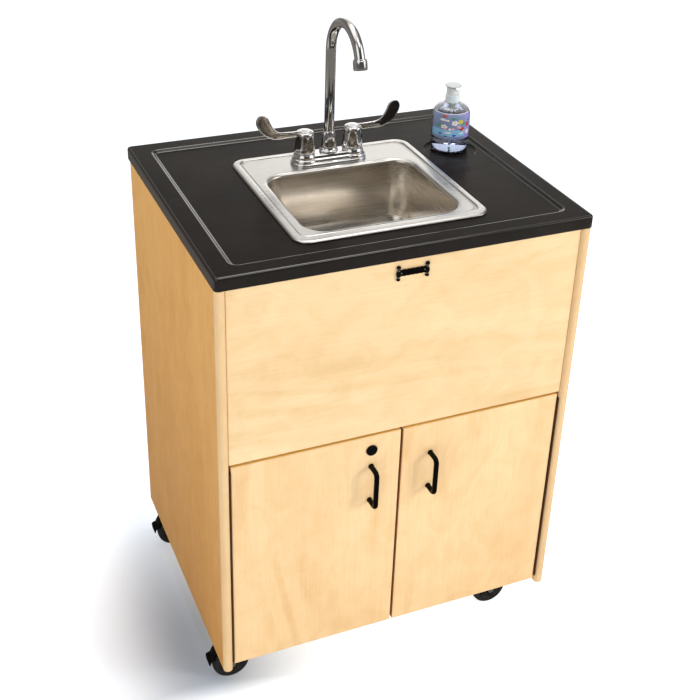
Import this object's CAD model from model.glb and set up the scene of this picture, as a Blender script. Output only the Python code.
"""Looks for the portable handwash sink: pieces, materials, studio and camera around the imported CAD."""

import math

import bmesh
import bpy
from mathutils import Matrix, Vector


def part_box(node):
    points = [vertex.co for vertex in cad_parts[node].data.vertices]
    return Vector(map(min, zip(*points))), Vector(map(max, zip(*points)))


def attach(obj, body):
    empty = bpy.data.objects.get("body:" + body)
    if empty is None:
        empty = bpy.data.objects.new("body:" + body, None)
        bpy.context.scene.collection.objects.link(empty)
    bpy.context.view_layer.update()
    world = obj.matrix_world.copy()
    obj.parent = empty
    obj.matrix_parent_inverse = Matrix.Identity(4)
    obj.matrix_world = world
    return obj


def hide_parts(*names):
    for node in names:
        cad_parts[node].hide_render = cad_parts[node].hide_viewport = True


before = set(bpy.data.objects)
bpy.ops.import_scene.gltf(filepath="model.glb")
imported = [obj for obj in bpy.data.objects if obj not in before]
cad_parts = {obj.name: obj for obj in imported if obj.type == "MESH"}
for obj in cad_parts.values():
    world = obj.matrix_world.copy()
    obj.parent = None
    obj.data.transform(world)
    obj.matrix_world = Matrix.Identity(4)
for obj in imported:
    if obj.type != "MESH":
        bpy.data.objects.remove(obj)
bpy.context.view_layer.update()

# Shapes are laid out around the counter's centre line, as in the CAD, and moved by SHIFT.
TOP_LOW, TOP_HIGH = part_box("countertop")
SHIFT = Vector(((TOP_LOW.x + TOP_HIGH.x) / 2, (TOP_LOW.y + TOP_HIGH.y) / 2, 0.0))
GAP = 0.0003
SIDE_X, PLY = 0.3618, 0.019
INNER_X = SIDE_X - PLY
SIDE_FRONT, SIDE_BACK, SIDE_BOTTOM, SIDE_TOP = -0.2978, 0.2760, 0.0807, 0.9394
FACE_Y, DOOR_BOTTOM, DOOR_TOP, PANEL_BOTTOM = -0.2905, 0.0915, 0.5735, 0.5785
DOOR_EDGE, DOOR_MEET = 0.3393, 0.0022
TOP_W, TOP_D, TOP_T, TOP_Z, FIELD_Z = 0.7256, 0.5970, 0.0255, 0.9652, 0.9607
FIELD = (0.0015, -0.0010, 0.6440, 0.5170)
SOAP_X, SOAP_Y, SOAP_R, SOAP_FLOOR = 0.2597, 0.0815, 0.0513, 0.9570
BOTTLE_X, BOTTLE_Y, BLADE_T = 0.2648, 0.0950, 0.0052
RIM, BOWL = (0.0, -0.0315, 0.3810, 0.3860), (0.0, -0.0610, 0.3060, 0.2540)
RIM_Z, DECK_Z, BOWL_DEPTH, SHEET, DRAIN_R = 0.9655, 0.9637, 0.150, 0.0012, 0.0435
TAP_Y, TAP_X, TUBE_R, NECK_R, NECK_Z = 0.1060, 0.0508, 0.0100, 0.0705, 1.1900
CASTER_X, CASTER_FRONT, CASTER_REAR, TRAIL = 0.2980, -0.2245, 0.2050, 0.0300
WHEEL_R, WHEEL_W, AXLE_R = 0.0381, 0.0240, 0.0040
LOCK_X, LOCK_Z = -0.0624, 0.5410
PULL_X, PULL_TOP, PULL_BOTTOM, PULL_OUT, PULL_R = 0.0624, 0.5037, 0.4237, 0.0285, 0.0051
HINGE_Y = -0.2925
FLOOR_TOP = 0.1135
TANK_Z = FLOOR_TOP + GAP
FRESH, WASTE = (-0.1950, -0.0900, 0.2300, 0.3000, 0.3100), (0.1450, -0.0900, 0.2600, 0.3000, 0.3500)
FRESH_NECK = (FRESH[0] - 0.060, FRESH[1] + 0.080, TANK_Z + FRESH[4])
WASTE_NECK = (WASTE[0] - 0.060, WASTE[1] + 0.060, TANK_Z + WASTE[4])
HEATER = ((-0.160, 0.1200, 0.4700), (0.080, 0.2600, 0.7000))
PUMP = (0.170, 0.185)


# ---------------------------------------------------------------- materials

SOCKETS = {"colour": "Base Color", "metal": "Metallic", "rough": "Roughness", "ior": "IOR",
           "spec": "Specular IOR Level", "aniso": "Anisotropic", "coat": "Coat Weight",
           "coat_rough": "Coat Roughness", "clear": "Transmission Weight", "alpha": "Alpha",
           "sss": "Subsurface Weight", "sss_scale": "Subsurface Scale"}


class Finish:
    """A Principled material, with short names for the nodes that feed it."""

    def __init__(self, name, **fixed):
        self.material = bpy.data.materials.new(name)
        self.material.use_nodes = True
        self.tree = self.material.node_tree
        self.shader = self.tree.nodes["Principled BSDF"]
        for key, value in fixed.items():
            socket = self.shader.inputs[SOCKETS[key]]
            socket.default_value = (*value, 1.0) if key == "colour" else value
        self.at = self.tree.nodes.new("ShaderNodeTexCoord").outputs["Object"]

    def link(self, value, socket):
        if isinstance(value, (int, float)):
            socket.default_value = value
        elif isinstance(value, tuple):
            socket.default_value = (*value, 1.0) if len(socket.default_value) == 4 else value
        else:
            self.tree.links.new(value, socket)

    def stretch(self, sx, sy, sz, move=(0.0, 0.0, 0.0), turn=(0.0, 0.0, 0.0)):
        node = self.tree.nodes.new("ShaderNodeMapping")
        node.inputs["Scale"].default_value = (sx, sy, sz)
        node.inputs["Location"].default_value = move
        node.inputs["Rotation"].default_value = turn
        self.tree.links.new(self.at, node.inputs["Vector"])
        return node.outputs[0]

    def noise(self, vector, scale, detail=2.0, rough=0.5, distortion=0.0):
        node = self.tree.nodes.new("ShaderNodeTexNoise")
        for key, value in (("Scale", scale), ("Detail", detail), ("Roughness", rough),
                           ("Distortion", distortion)):
            node.inputs[key].default_value = value
        self.tree.links.new(vector, node.inputs["Vector"])
        return node.outputs[0]

    def cells(self, vector, scale):
        node = self.tree.nodes.new("ShaderNodeTexVoronoi")
        node.inputs["Scale"].default_value = scale
        self.tree.links.new(vector, node.inputs["Vector"])
        return node.outputs["Distance"]

    def math(self, operation, a, b=0.0, clamp=False):
        node = self.tree.nodes.new("ShaderNodeMath")
        node.operation, node.use_clamp = operation, clamp
        self.link(a, node.inputs[0])
        self.link(b, node.inputs[1])
        return node.outputs[0]

    def between(self, value, low, high, out_low=0.0, out_high=1.0):
        """Maps low..high to out_low..out_high smoothly, and holds the ends."""
        node = self.tree.nodes.new("ShaderNodeMapRange")
        node.interpolation_type = "SMOOTHSTEP"
        for i, number in enumerate((low, high, out_low, out_high)):
            node.inputs[i + 1].default_value = number
        self.link(value, node.inputs[0])
        return node.outputs[0]

    def mix(self, factor, a, b, blend="MIX"):
        node = self.tree.nodes.new("ShaderNodeMix")
        node.data_type, node.blend_type = "RGBA", blend
        self.link(factor, node.inputs[0])
        self.link(a, node.inputs[6])
        self.link(b, node.inputs[7])
        return node.outputs[2]

    def part(self, axis):
        """One coordinate of the object's own space: 0, 1 or 2."""
        node = self.tree.nodes.new("ShaderNodeSeparateXYZ")
        self.tree.links.new(self.at, node.inputs[0])
        return node.outputs[axis]

    def set(self, **values):
        for key, value in values.items():
            self.link(value, self.shader.inputs[SOCKETS[key]])
        return self

    def bump(self, height, strength, distance):
        node = self.tree.nodes.new("ShaderNodeBump")
        node.inputs["Strength"].default_value = strength
        node.inputs["Distance"].default_value = distance
        self.tree.links.new(height, node.inputs["Height"])
        self.tree.links.new(node.outputs[0], self.shader.inputs["Normal"])
        return self

    def tangent(self):
        node = self.tree.nodes.new("ShaderNodeTangent")
        node.direction_type, node.axis = "RADIAL", "Z"
        self.tree.links.new(node.outputs[0], self.shader.inputs["Tangent"])
        return self


def maple(name, light, dark, along, seed, figure=0.30, fall=None):
    """Clear-coated rotary-cut maple veneer. along is the grain's axis; fall darkens towards the floor."""
    f = Finish(name, ior=1.48, spec=0.38, coat=0.12, coat_rough=0.22)

    def grain(across, with_it, extra=0.0):
        scale = [across] * 3
        scale[along] = with_it
        return f.stretch(*scale, move=(seed + extra, seed * 1.7, seed * 0.6 - extra))

    broad = f.noise(grain(1.0, 0.22), 5.0, 3.0, 0.55, 0.6)
    rings = f.noise(grain(1.0, 0.20, 3.1), 2.6, 1.5, 0.45, 0.9)
    rings = f.math("SINE", f.math("MULTIPLY", rings, 95.0))
    rings = f.between(rings, -0.2, 1.0)
    rings = f.math("MULTIPLY", rings, f.between(f.noise(grain(1.0, 0.5, 5.0), 6.0, 1.0), 0.38, 0.66))
    fibre = f.noise(grain(1.0, 0.022, 7.7), 420.0, 2.0, 0.6)
    fleck = f.between(f.noise(grain(1.0, 0.10, 1.3), 620.0, 1.0, 0.5), 0.66, 0.78)
    mottle = f.noise(grain(1.0, 0.75, 9.0), 17.0, 2.5, 0.6, 1.2)
    knot = f.between(f.cells(grain(1.0, 0.45, 2.2), 7.5), 0.016, 0.040, 1.0, 0.0)

    layers = ((f.between(broad, 0.30, 0.72), 0.42), (rings, figure), (f.between(fibre, 0.30, 0.70), 0.20),
              (f.between(mottle, 0.35, 0.70), 0.26), (fleck, 0.30), (knot, 0.55))
    depth = 0.0
    for layer, weight in layers:
        depth = f.math("ADD", depth, f.math("MULTIPLY", layer, weight), clamp=layer is knot)
    colour = f.mix(depth, light, dark)
    if fall:
        colour = f.mix(f.between(f.part(2), fall[0], fall[1], fall[2], 0.0), colour, fall[3], "MULTIPLY")
    rough = f.between(f.noise(grain(1.0, 0.05, 4.0), 120.0, 2.0), 0.3, 0.7, 0.40, 0.50)
    f.set(colour=colour, rough=rough)
    height = f.math("SUBTRACT", f.math("MULTIPLY", fibre, 0.6), f.math("MULTIPLY", fleck, 0.8))
    return f.bump(height, 0.12, 0.0004).material


def moulded_black(name):
    """Thermoformed sheet: warm black with a fine satin pebble and faint wipe marks."""
    f = Finish(name, spec=0.04, ior=1.46)
    pebble = f.cells(f.at, 1500.0)
    cloud = f.noise(f.at, 6.0, 4.0, 0.6, 0.4)
    wipe = f.noise(f.stretch(1.0, 7.0, 1.0, turn=(0, 0, 0.5)), 9.0, 3.0, 0.6, 0.8)
    f.set(colour=f.mix(f.between(cloud, 0.35, 0.7), (0.0046, 0.0031, 0.0022), (0.0082, 0.0060, 0.0046)),
          rough=f.math("ADD", f.between(wipe, 0.35, 0.7, 0.25, 0.31), f.math("MULTIPLY", pebble, 0.04)))
    return f.bump(pebble, 0.10, 0.0002).material


def brushed(name, colour, streak_scale, rough, direction, aniso=0.55, tint=0.05, fall=None):
    """Brushed stainless. direction names the axis along which the strokes run; W is around a bowl's walls."""
    f = Finish(name, metal=1.0, aniso=aniso)
    stretch = {"X": (0.6, 60.0, 60.0), "Y": (60.0, 0.6, 60.0), "W": (0.5, 0.5, 60.0)}[direction]
    streak = f.noise(f.stretch(*stretch), streak_scale, 3.0, 0.7)
    broad = f.noise(f.stretch(*(0.4 * s ** 0.4 for s in stretch)), 5.0, 2.0, 0.5)
    low = tuple(c * (1 - tint) for c in colour)
    shade = f.mix(f.between(streak, 0.3, 0.7), low, colour)
    if fall:
        shade = f.mix(f.between(f.part(2), fall[0], fall[1], 1.0, 0.0), shade, fall[2], "MULTIPLY")
    f.set(colour=shade,
          rough=f.math("ADD", f.between(streak, 0.25, 0.75, rough - 0.05, rough + 0.06),
                       f.between(broad, 0.3, 0.7, -0.02, 0.03)))
    f.bump(streak, 0.10, 0.00008)
    return f.tangent().material


def plating(name):
    f = Finish(name, metal=1.0)
    smear = f.noise(f.at, 38.0, 4.0, 0.6, 0.6)
    spots = f.between(f.cells(f.at, 130.0), 0.02, 0.10, 1.0, 0.0)
    f.set(colour=f.mix(f.between(smear, 0.3, 0.75), (0.76, 0.76, 0.77), (0.70, 0.695, 0.69)),
          rough=f.math("ADD", f.between(smear, 0.4, 0.75, 0.035, 0.085), f.math("MULTIPLY", spots, 0.03)))
    return f.material


def plain(name, colour, rough, grain=900.0, strength=0.10, spread=0.12, speckle=0.06, distance=0.0002,
          **fixed):
    """A moulded, painted or plated finish: fine grain in its surface, small changes of tone and gloss."""
    f = Finish(name, **fixed)
    fine = f.noise(f.at, grain, 2.0, 0.6)
    cloud = f.noise(f.at, 14.0, 3.0, 0.6, 0.5)
    low = tuple(c * (1 - speckle) for c in colour)
    f.set(colour=f.mix(f.between(cloud, 0.3, 0.7), low, colour),
          rough=f.between(cloud, 0.3, 0.7, rough * (1 - spread), rough * (1 + spread)))
    return f.bump(fine, strength, distance).material


def tank_skin(name, colour, wet, level):
    """Translucent polyethylene that is darker below the water line."""
    f = Finish(name, rough=0.42, sss=0.25, sss_scale=0.02, spec=0.4)
    orange_peel = f.noise(f.at, 260.0, 2.0, 0.6)
    cloud = f.noise(f.at, 9.0, 3.0, 0.6, 0.5)
    body = f.mix(f.between(cloud, 0.3, 0.7), tuple(c * 0.93 for c in colour), colour)
    f.set(colour=f.mix(f.between(f.part(2), level - 0.0015, level + 0.0015, 1.0, 0.0), body, wet))
    return f.bump(orange_peel, 0.18, 0.0005).material


def braided(name, light, dark, scale):
    """Clear hose with a woven thread inside it."""
    f = Finish(name, spec=0.5, ior=1.5, coat=0.3, coat_rough=0.1)
    threads = []
    for turn in (0.9, -0.9):
        wave = f.tree.nodes.new("ShaderNodeTexWave")
        wave.inputs["Scale"].default_value = scale
        wave.inputs["Distortion"].default_value = 0.4
        f.tree.links.new(f.stretch(1, 1, 1, turn=(turn, turn * 0.7, 0)), wave.inputs["Vector"])
        threads.append(f.between(wave.outputs["Fac"], 0.75, 0.95))
    weave = f.math("MAXIMUM", *threads)
    f.set(colour=f.mix(weave, dark, light), rough=f.between(weave, 0.0, 1.0, 0.22, 0.40))
    return f.bump(weave, 0.3, 0.0004).material


MAPLE_FRONT = maple("maple_front", (0.775, 0.575, 0.325), (0.635, 0.415, 0.190), 0, 0.0, 0.24)
DOOR_LIGHT, DOOR_DARK = (0.800, 0.575, 0.315), (0.655, 0.410, 0.180)
DOOR_FALL = (0.10, 0.42, 0.55, (0.93, 0.88, 0.80))
MAPLE_DOORS = [maple(f"maple_door_{label}", DOOR_LIGHT, DOOR_DARK, 2, seed, fall=DOOR_FALL)
               for label, seed in (("left", 4.0), ("right", 11.0))]
MAPLE_SIDE = maple("maple_side", (0.780, 0.430, 0.120), (0.630, 0.300, 0.055), 2, 19.0, 0.16,
                   fall=(0.10, 0.95, 1.0, (0.84, 0.76, 0.64)))
MAPLE_RIGHT = maple("maple_side_right", (0.775, 0.530, 0.255), (0.635, 0.375, 0.135), 2, 23.0, 0.18)
MAPLE_TIP = maple("maple_door_top", (0.860, 0.540, 0.150), (0.720, 0.400, 0.090), 0, 29.0, 0.10)
MAPLE_SHUT = maple("maple_door_edge", (0.420, 0.190, 0.065), (0.340, 0.135, 0.042), 2, 31.0, 0.10)
MAPLE_EDGE = maple("maple_edge", (0.680, 0.465, 0.240), (0.590, 0.370, 0.165), 2, 27.0, 0.10)
MAPLE_FLAT = maple("maple_inside", (0.790, 0.570, 0.320), (0.650, 0.410, 0.190), 0, 33.0)
MAPLE_BACK = maple("maple_back", (0.740, 0.500, 0.250), (0.600, 0.360, 0.150), 2, 41.0)
BLACK_TOP = moulded_black("moulded_black")
BLACK_EDGE = plain("moulded_black_edge", (0.0085, 0.0068, 0.0058), 0.17, 1500, 0.05, 0.2, 0.2, spec=0.9,
                   ior=1.46)
STEEL_DECK = brushed("steel_deck", (0.665, 0.655, 0.64), 20.0, 0.29, "X", 0.0, 0.05)
STEEL_BOWL = brushed("steel_bowl", (0.72, 0.68, 0.625), 9.0, 0.21, "W", 0.60, 0.035,
                     fall=(DECK_Z - BOWL_DEPTH + 0.004, DECK_Z - BOWL_DEPTH + 0.034, (0.80, 0.79, 0.77)))
STEEL_DRAIN = brushed("steel_drain", (0.62, 0.60, 0.57), 30.0, 0.22, "W", 0.3)
CHROME = plating("chrome_plating")
SATIN_CHROME = plain("satin_chrome", (0.72, 0.72, 0.73), 0.26, 600, 0.05, metal=1.0)
CLEAR = plain("clear_pet", (0.97, 0.985, 1.0), 0.03, 40, 0.02, 0.3, 0.01, clear=1.0, ior=1.50, spec=0.5)
SOAP_GEL = plain("soap_gel", (0.66, 0.72, 0.92), 0.02, 60, 0.02, 0.3, 0.03, clear=1.0, ior=1.36)
WHITE_PUMP = plain("white_pump", (0.74, 0.765, 0.775), 0.36, 700, 0.05, 0.1, 0.03, sss=0.35, sss_scale=0.01)
WHITE_DISC = plain("white_pump_top", (0.40, 0.415, 0.42), 0.36, 700, 0.05, 0.1, 0.03)
WHITE_CLIP = plain("white_clip", (0.78, 0.78, 0.77), 0.42)
POWDER = plain("black_powder", (0.0022, 0.0019, 0.0016), 0.20, 1600, 0.08, spec=0.07)
GLOSS_BLACK = plain("gloss_black", (0.0025, 0.0022, 0.0022), 0.12, 300, 0.03, spec=0.16)
RUBBER = plain("rubber", (0.0170, 0.0165, 0.0165), 0.62, 1100, 0.30, 0.10, 0.15, spec=0.3)
HUB = plain("wheel_hub", (0.0120, 0.0118, 0.0118), 0.42, 900, 0.15)
ZINC = plain("zinc", (0.50, 0.51, 0.53), 0.34, 500, 0.10, 0.2, 0.10, metal=1.0)
BLACK_PLASTIC = plain("black_plastic", (0.018, 0.018, 0.019), 0.42, 1000, 0.25)
RED_PLASTIC = plain("red_plastic", (0.42, 0.03, 0.02), 0.38)
BRONZE = plain("bronze_lacquer", (0.085, 0.030, 0.009), 0.45, 900, 0.12, metal=0.3, spec=0.2)
ENAMEL = plain("white_enamel", (0.80, 0.80, 0.79), 0.24, 120, 0.06, 0.15, 0.03, coat=0.3, coat_rough=0.1)
TANK_WHITE = tank_skin("tank_natural", (0.76, 0.78, 0.75), (0.60, 0.67, 0.68), TANK_Z + 0.235)
TANK_GREY = tank_skin("tank_grey", (0.25, 0.26, 0.27), (0.19, 0.20, 0.205), TANK_Z + 0.060)
HOSE = braided("braided_hose", (0.72, 0.73, 0.72), (0.36, 0.42, 0.43), 210.0)
RIBBED = plain("ribbed_hose", (0.74, 0.74, 0.72), 0.40, 500, 0.10, sss=0.15, sss_scale=0.01)
BRASS = plain("brass", (0.60, 0.42, 0.16), 0.28, 500, 0.08, metal=1.0)


# ---------------------------------------------------------------- shapes


def make(name, verts, faces, *materials, angle=40, index=None):
    """A mesh whose points are given around the counter's centre line."""
    mesh = bpy.data.meshes.new(name)
    mesh.from_pydata([tuple(Vector(v) + SHIFT) for v in verts], [], faces)
    for material in materials:
        mesh.materials.append(material)
    if index:
        mesh.polygons.foreach_set("material_index", index)
    bm = bmesh.new()
    bm.from_mesh(mesh)
    bmesh.ops.recalc_face_normals(bm, faces=bm.faces)
    if bm.calc_volume(signed=True) < 0:
        bmesh.ops.reverse_faces(bm, faces=bm.faces)
    bm.to_mesh(mesh)
    bm.free()
    smooth(mesh, angle)
    obj = bpy.data.objects.new(name, mesh)
    bpy.context.scene.collection.objects.link(obj)
    return obj


def smooth(mesh, angle=40):
    mesh.shade_smooth()
    mesh.set_sharp_from_angle(angle=math.radians(angle))


def keep_flats(mesh):
    """Gives long flat faces their own normals, so that rounded edges don't bend the light across them."""
    bm = bmesh.new()
    bm.from_mesh(mesh)
    flats = {face for face in bm.faces if max(map(abs,
                                                  face.normal)) > 0.99999 and face.calc_perimeter() > 0.05}
    for edge in bm.edges:
        if len(edge.link_faces) == 2 and not flats.isdisjoint(edge.link_faces):
            a, b = edge.link_faces
            if a.normal.dot(b.normal) < 0.99999:
                edge.smooth = False
    bm.to_mesh(mesh)
    bm.free()


def recolour(obj, material, chosen):
    """Gives the chosen faces another material."""
    obj.data.materials.append(material)
    for face in obj.data.polygons:
        if chosen(face):
            face.material_index = len(obj.data.materials) - 1


def place(obj, body, slot, *nodes):
    """Makes obj ride on its body, name its slot and stand for the CAD nodes."""
    keep_flats(obj.data)
    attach(obj, body)
    if nodes:
        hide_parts(*nodes)
    return obj


def merge(name, objects, angle=40):
    """One object out of several, each keeping its materials."""
    bm, materials = bmesh.new(), []
    for obj in objects:
        mesh = obj.data
        remap = []
        for material in mesh.materials:
            if material not in materials:
                materials.append(material)
            remap.append(materials.index(material))
        start = len(bm.faces)
        bm.from_mesh(mesh)
        bm.faces.ensure_lookup_table()
        for face in bm.faces[start:]:
            face.material_index = remap[face.material_index] if remap else 0
        bpy.data.objects.remove(obj, do_unlink=True)
    mesh = bpy.data.meshes.new(name)
    bm.to_mesh(mesh)
    bm.free()
    for material in materials:
        mesh.materials.append(material)
    smooth(mesh, angle)
    made = bpy.data.objects.new(name, mesh)
    bpy.context.scene.collection.objects.link(made)
    return made


def bevelled(obj, width, segments=3, angle=30):
    """Rounds the object's hard edges."""
    modifier = obj.modifiers.new("edges", "BEVEL")
    modifier.width, modifier.segments, modifier.limit_method = width, segments, "ANGLE"
    modifier.angle_limit, modifier.harden_normals = math.radians(angle), False
    return applied(obj)


def applied(obj, angle=40):
    bpy.context.view_layer.update()
    graph = bpy.context.evaluated_depsgraph_get()
    made = bpy.data.meshes.new_from_object(obj.evaluated_get(graph))
    obj.modifiers.clear()
    obj.data = made
    smooth(made, angle)
    return obj


def cut(obj, *tools):
    for tool in tools:
        modifier = obj.modifiers.new("cut", "BOOLEAN")
        modifier.operation, modifier.solver, modifier.object = "DIFFERENCE", "EXACT", tool
        applied(obj)
        bpy.data.objects.remove(tool, do_unlink=True)
    return obj


def box(name, low, high, material, bevel=0.0, segments=3):
    (x0, y0, z0), (x1, y1, z1) = low, high
    verts = [(x, y, z) for z in (z0, z1) for y in (y0, y1) for x in (x0, x1)]
    faces = [(0, 2, 3, 1), (4, 5, 7, 6), (0, 1, 5, 4), (2, 6, 7, 3), (0, 4, 6, 2), (1, 3, 7, 5)]
    obj = make(name, verts, faces, material)
    return bevelled(obj, bevel, segments) if bevel else obj


def rounded(cx, cy, width, depth, radius, steps=12, grow=0.0):
    half_w, half_d = width / 2 + grow, depth / 2 + grow
    radius = max(radius + grow, 0.0005)
    points = []
    for corner in range(4):
        sx, sy = (1, -1, -1, 1)[corner], (1, 1, -1, -1)[corner]
        for step in range(steps + 1):
            turn = math.radians(90 * corner + 90 * step / steps)
            points.append((cx + sx * (half_w - radius) + radius * math.cos(turn),
                           cy + sy * (half_d - radius) + radius * math.sin(turn)))
    return points


def circle(cx, cy, radius, count):
    """Points spaced like those of rounded(), so that the two join ring to ring."""
    steps = count // 4 - 1
    turns = [math.radians(90 * c + 90 * (s + 0.5) / (steps + 1)) for c in range(4) for s in range(steps + 1)]
    return [(cx + radius * math.cos(t), cy + radius * math.sin(t)) for t in turns]


def lifted(outline, z):
    return [(x, y, z) for x, y in outline]


def loft(name, rings, *materials, loop=False, angle=40, ring_index=None):
    """Joins rings of equally many points. A loop joins the last to the first, otherwise both are capped."""
    count = len(rings[0])
    verts = [point for ring in rings for point in ring]
    faces, index = [], []
    for i in range(len(rings) if loop else len(rings) - 1):
        a, b = i * count, ((i + 1) % len(rings)) * count
        for k in range(count):
            n = (k + 1) % count
            faces.append((a + k, a + n, b + n, b + k))
            index.append(ring_index(i) if ring_index else 0)
    if not loop:
        faces += [tuple(range(count)), tuple(reversed(range(len(verts) - count, len(verts))))]
        index += [0, 0]
    return make(name, verts, faces, *materials, angle=angle, index=index)


def lathe(name, profile, material, centre=(0, 0, 0), axis="Z", segments=64, loop=False, tilt=None, angle=40):
    """Turns (radius, height) points about an axis."""
    verts, rows = [], []
    for radius, height in profile:
        if radius < 1e-7:
            rows.append([len(verts)])
            verts.append((0.0, 0.0, height))
            continue
        rows.append(list(range(len(verts), len(verts) + segments)))
        verts += [(radius * math.cos(t), radius * math.sin(t), height)
                  for t in (2 * math.pi * k / segments for k in range(segments))]
    faces = []
    for low, high in list(zip(rows, rows[1:])) + ([(rows[-1], rows[0])] if loop else []):
        for k in range(segments):
            n = (k + 1) % segments
            if len(low) == 1:
                faces.append((low[0], high[n], high[k]))
            elif len(high) == 1:
                faces.append((low[k], low[n], high[0]))
            else:
                faces.append((low[k], low[n], high[n], high[k]))
    turned = {"Z": Matrix(), "Y": Matrix.Rotation(math.pi / 2, 4, "X"),
              "X": Matrix.Rotation(math.pi / 2, 4, "Y")}[axis]
    spot = Matrix.Translation(centre) @ (tilt or Matrix()) @ turned
    return make(name, [spot @ Vector(v) for v in verts], faces, material, angle=angle)


def soft(profile, cuts=3, passes=2):
    """Rounds a lathe profile's corners (Chaikin), keeping its two ends."""
    points = [Vector(p) for p in profile]
    for _ in range(passes):
        finer = [points[0]]
        for a, b in zip(points, points[1:]):
            finer += [a.lerp(b, 1 / (cuts + 1)), a.lerp(b, cuts / (cuts + 1))]
        points = finer + [points[-1]]
    return [tuple(p) for p in points]


def sweep(name, path, radius, material, segments=24):
    """A round bar along a path, its ends closed. radius is one number or one per point."""
    path = [Vector(p) for p in path]
    radii = radius if isinstance(radius, list) else [radius] * len(path)
    rings, side = [], None
    for i, point in enumerate(path):
        ahead = path[min(i + 1, len(path) - 1)] - path[max(i - 1, 0)]
        ahead.normalize()
        side = ahead.orthogonal() if side is None else side - ahead * side.dot(ahead)
        side.normalize()
        other = ahead.cross(side)
        rings.append([point + radii[i] * (math.cos(t) * side + math.sin(t) * other)
                      for t in (2 * math.pi * k / segments for k in range(segments))])
    return loft(name, rings, material, angle=60)


def spline(pts, per_span):
    """A smooth path through all the points but the first and the last (Catmull-Rom)."""
    path = []
    for a, b, c, d in zip(pts, pts[1:], pts[2:], pts[3:]):
        for t in (k / per_span for k in range(per_span)):
            path.append(0.5 * (2 * b + (c - a) * t + (2 * a - 5 * b + 4 * c - d) * t * t
                               + (3 * b - a - 3 * c + d) * t ** 3))
    return path + [pts[-2]]


def curve(points, per_span=8):
    """A smooth path that keeps both ends and their directions."""
    pts = [Vector(p) for p in points]
    return spline([2 * pts[0] - pts[1]] + pts + [2 * pts[-1] - pts[-2]], per_span)


def hose_path(start, leaves, middle, end, arrives):
    start, end = Vector(start), Vector(end)
    return [start] + curve([start + Vector(leaves) * 0.010, *middle, end + Vector(arrives) * 0.010]) + [end]


def bent(points, radius, steps=10):
    """A path of straight runs whose corners are rounded to the radius."""
    pts = [Vector(p) for p in points]
    path = [pts[0]]
    for before, corner, after in zip(pts, pts[1:], pts[2:]):
        a, b = (before - corner).normalized(), (after - corner).normalized()
        half = a.angle(b) / 2
        centre = corner + (a + b).normalized() * (radius / math.sin(half))
        reach = radius / math.tan(half)
        start, end = corner + a * reach - centre, corner + b * reach - centre
        axis, turn = start.cross(end).normalized(), start.angle(end)
        path += [centre + Matrix.Rotation(turn * k / steps, 3, axis) @ start for k in range(steps + 1)]
    return path + [pts[-1]]


def prism(name, outline, low, high, material, bevel=0.0, segments=3):
    """Pushes a flat outline of (x, z) points through along Y."""
    obj = loft(name, [[(x, y, z) for x, z in outline] for y in (low, high)], material)
    return bevelled(obj, bevel, segments) if bevel else obj


def screw(centre, axis, material, radius=0.0030, height=0.0011, side=1):
    """A pan head with a cross recess, standing on a surface that faces along side * axis."""
    dome = [(radius * math.cos(t), side * height * math.sin(t)) for t in (math.radians(15 * k)
                                                                          for k in range(6))]
    head = lathe("screw", [(0.0, 0.0)] + dome + [(0.0, side * height)], material, centre, axis, 20)
    arms = []
    for turned in (0, 1):
        long, short, deep = radius * 0.62, radius * 0.13, height * 0.45
        a, b = (long, short) if turned else (short, long)
        spans = {"Z": ((a, b, deep), 2), "Y": ((a, deep, b), 1), "X": ((deep, a, b), 0)}[axis]
        middle = Vector(centre)
        # lathe("Y") turns heights towards -Y, so that side is reversed there
        middle[spans[1]] += (-side if axis == "Y" else side) * height
        half = Vector(spans[0])
        arms.append(box("arm", middle - half, middle + half, material))
    return cut(head, *arms)


# ---------------------------------------------------------------- cabinet


def side_panel(name, side, veneer, node):
    """Plywood side with a bullnose front edge; the edge strip is a lighter solid lipping."""
    rings = []
    straight = SIDE_BOTTOM + 0.0030
    heights = [(SIDE_BOTTOM, 0.0030), (SIDE_BOTTOM + 0.0006, 0.0014), (SIDE_BOTTOM + 0.0016, 0.0005)]
    heights += [(straight + (SIDE_TOP - straight) * k / 8, 0.0) for k in range(9)]
    for z, inset in heights:
        inner, outer = INNER_X + inset, SIDE_X - inset
        radius, middle, front = (outer - inner) / 2, (inner + outer) / 2, SIDE_FRONT + inset
        points = [(outer, SIDE_BACK - inset), (inner, SIDE_BACK - inset), (inner, front + radius + 0.010)]
        points += [(middle + radius * math.cos(t), front + radius + radius * math.sin(t))
                   for t in (math.pi + math.pi * k / 24 for k in range(25))]
        points.append((outer, front + radius + 0.010))
        rings.append([(side * x, y, z) for x, y in points])
    obj = loft(name, rings, veneer, MAPLE_EDGE, angle=30)
    for face in obj.data.polygons:
        if face.center.y - SHIFT.y < SIDE_FRONT + 0.0105 and abs(face.normal.z) < 0.9:
            face.material_index = 1
    place(obj, "cabinet", "ply_side", node)


def board(name, low, high, material, node, bevel, slot="ply_light"):
    place(box(name, low, high, material, bevel, 4), "cabinet", slot, node)


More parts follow.
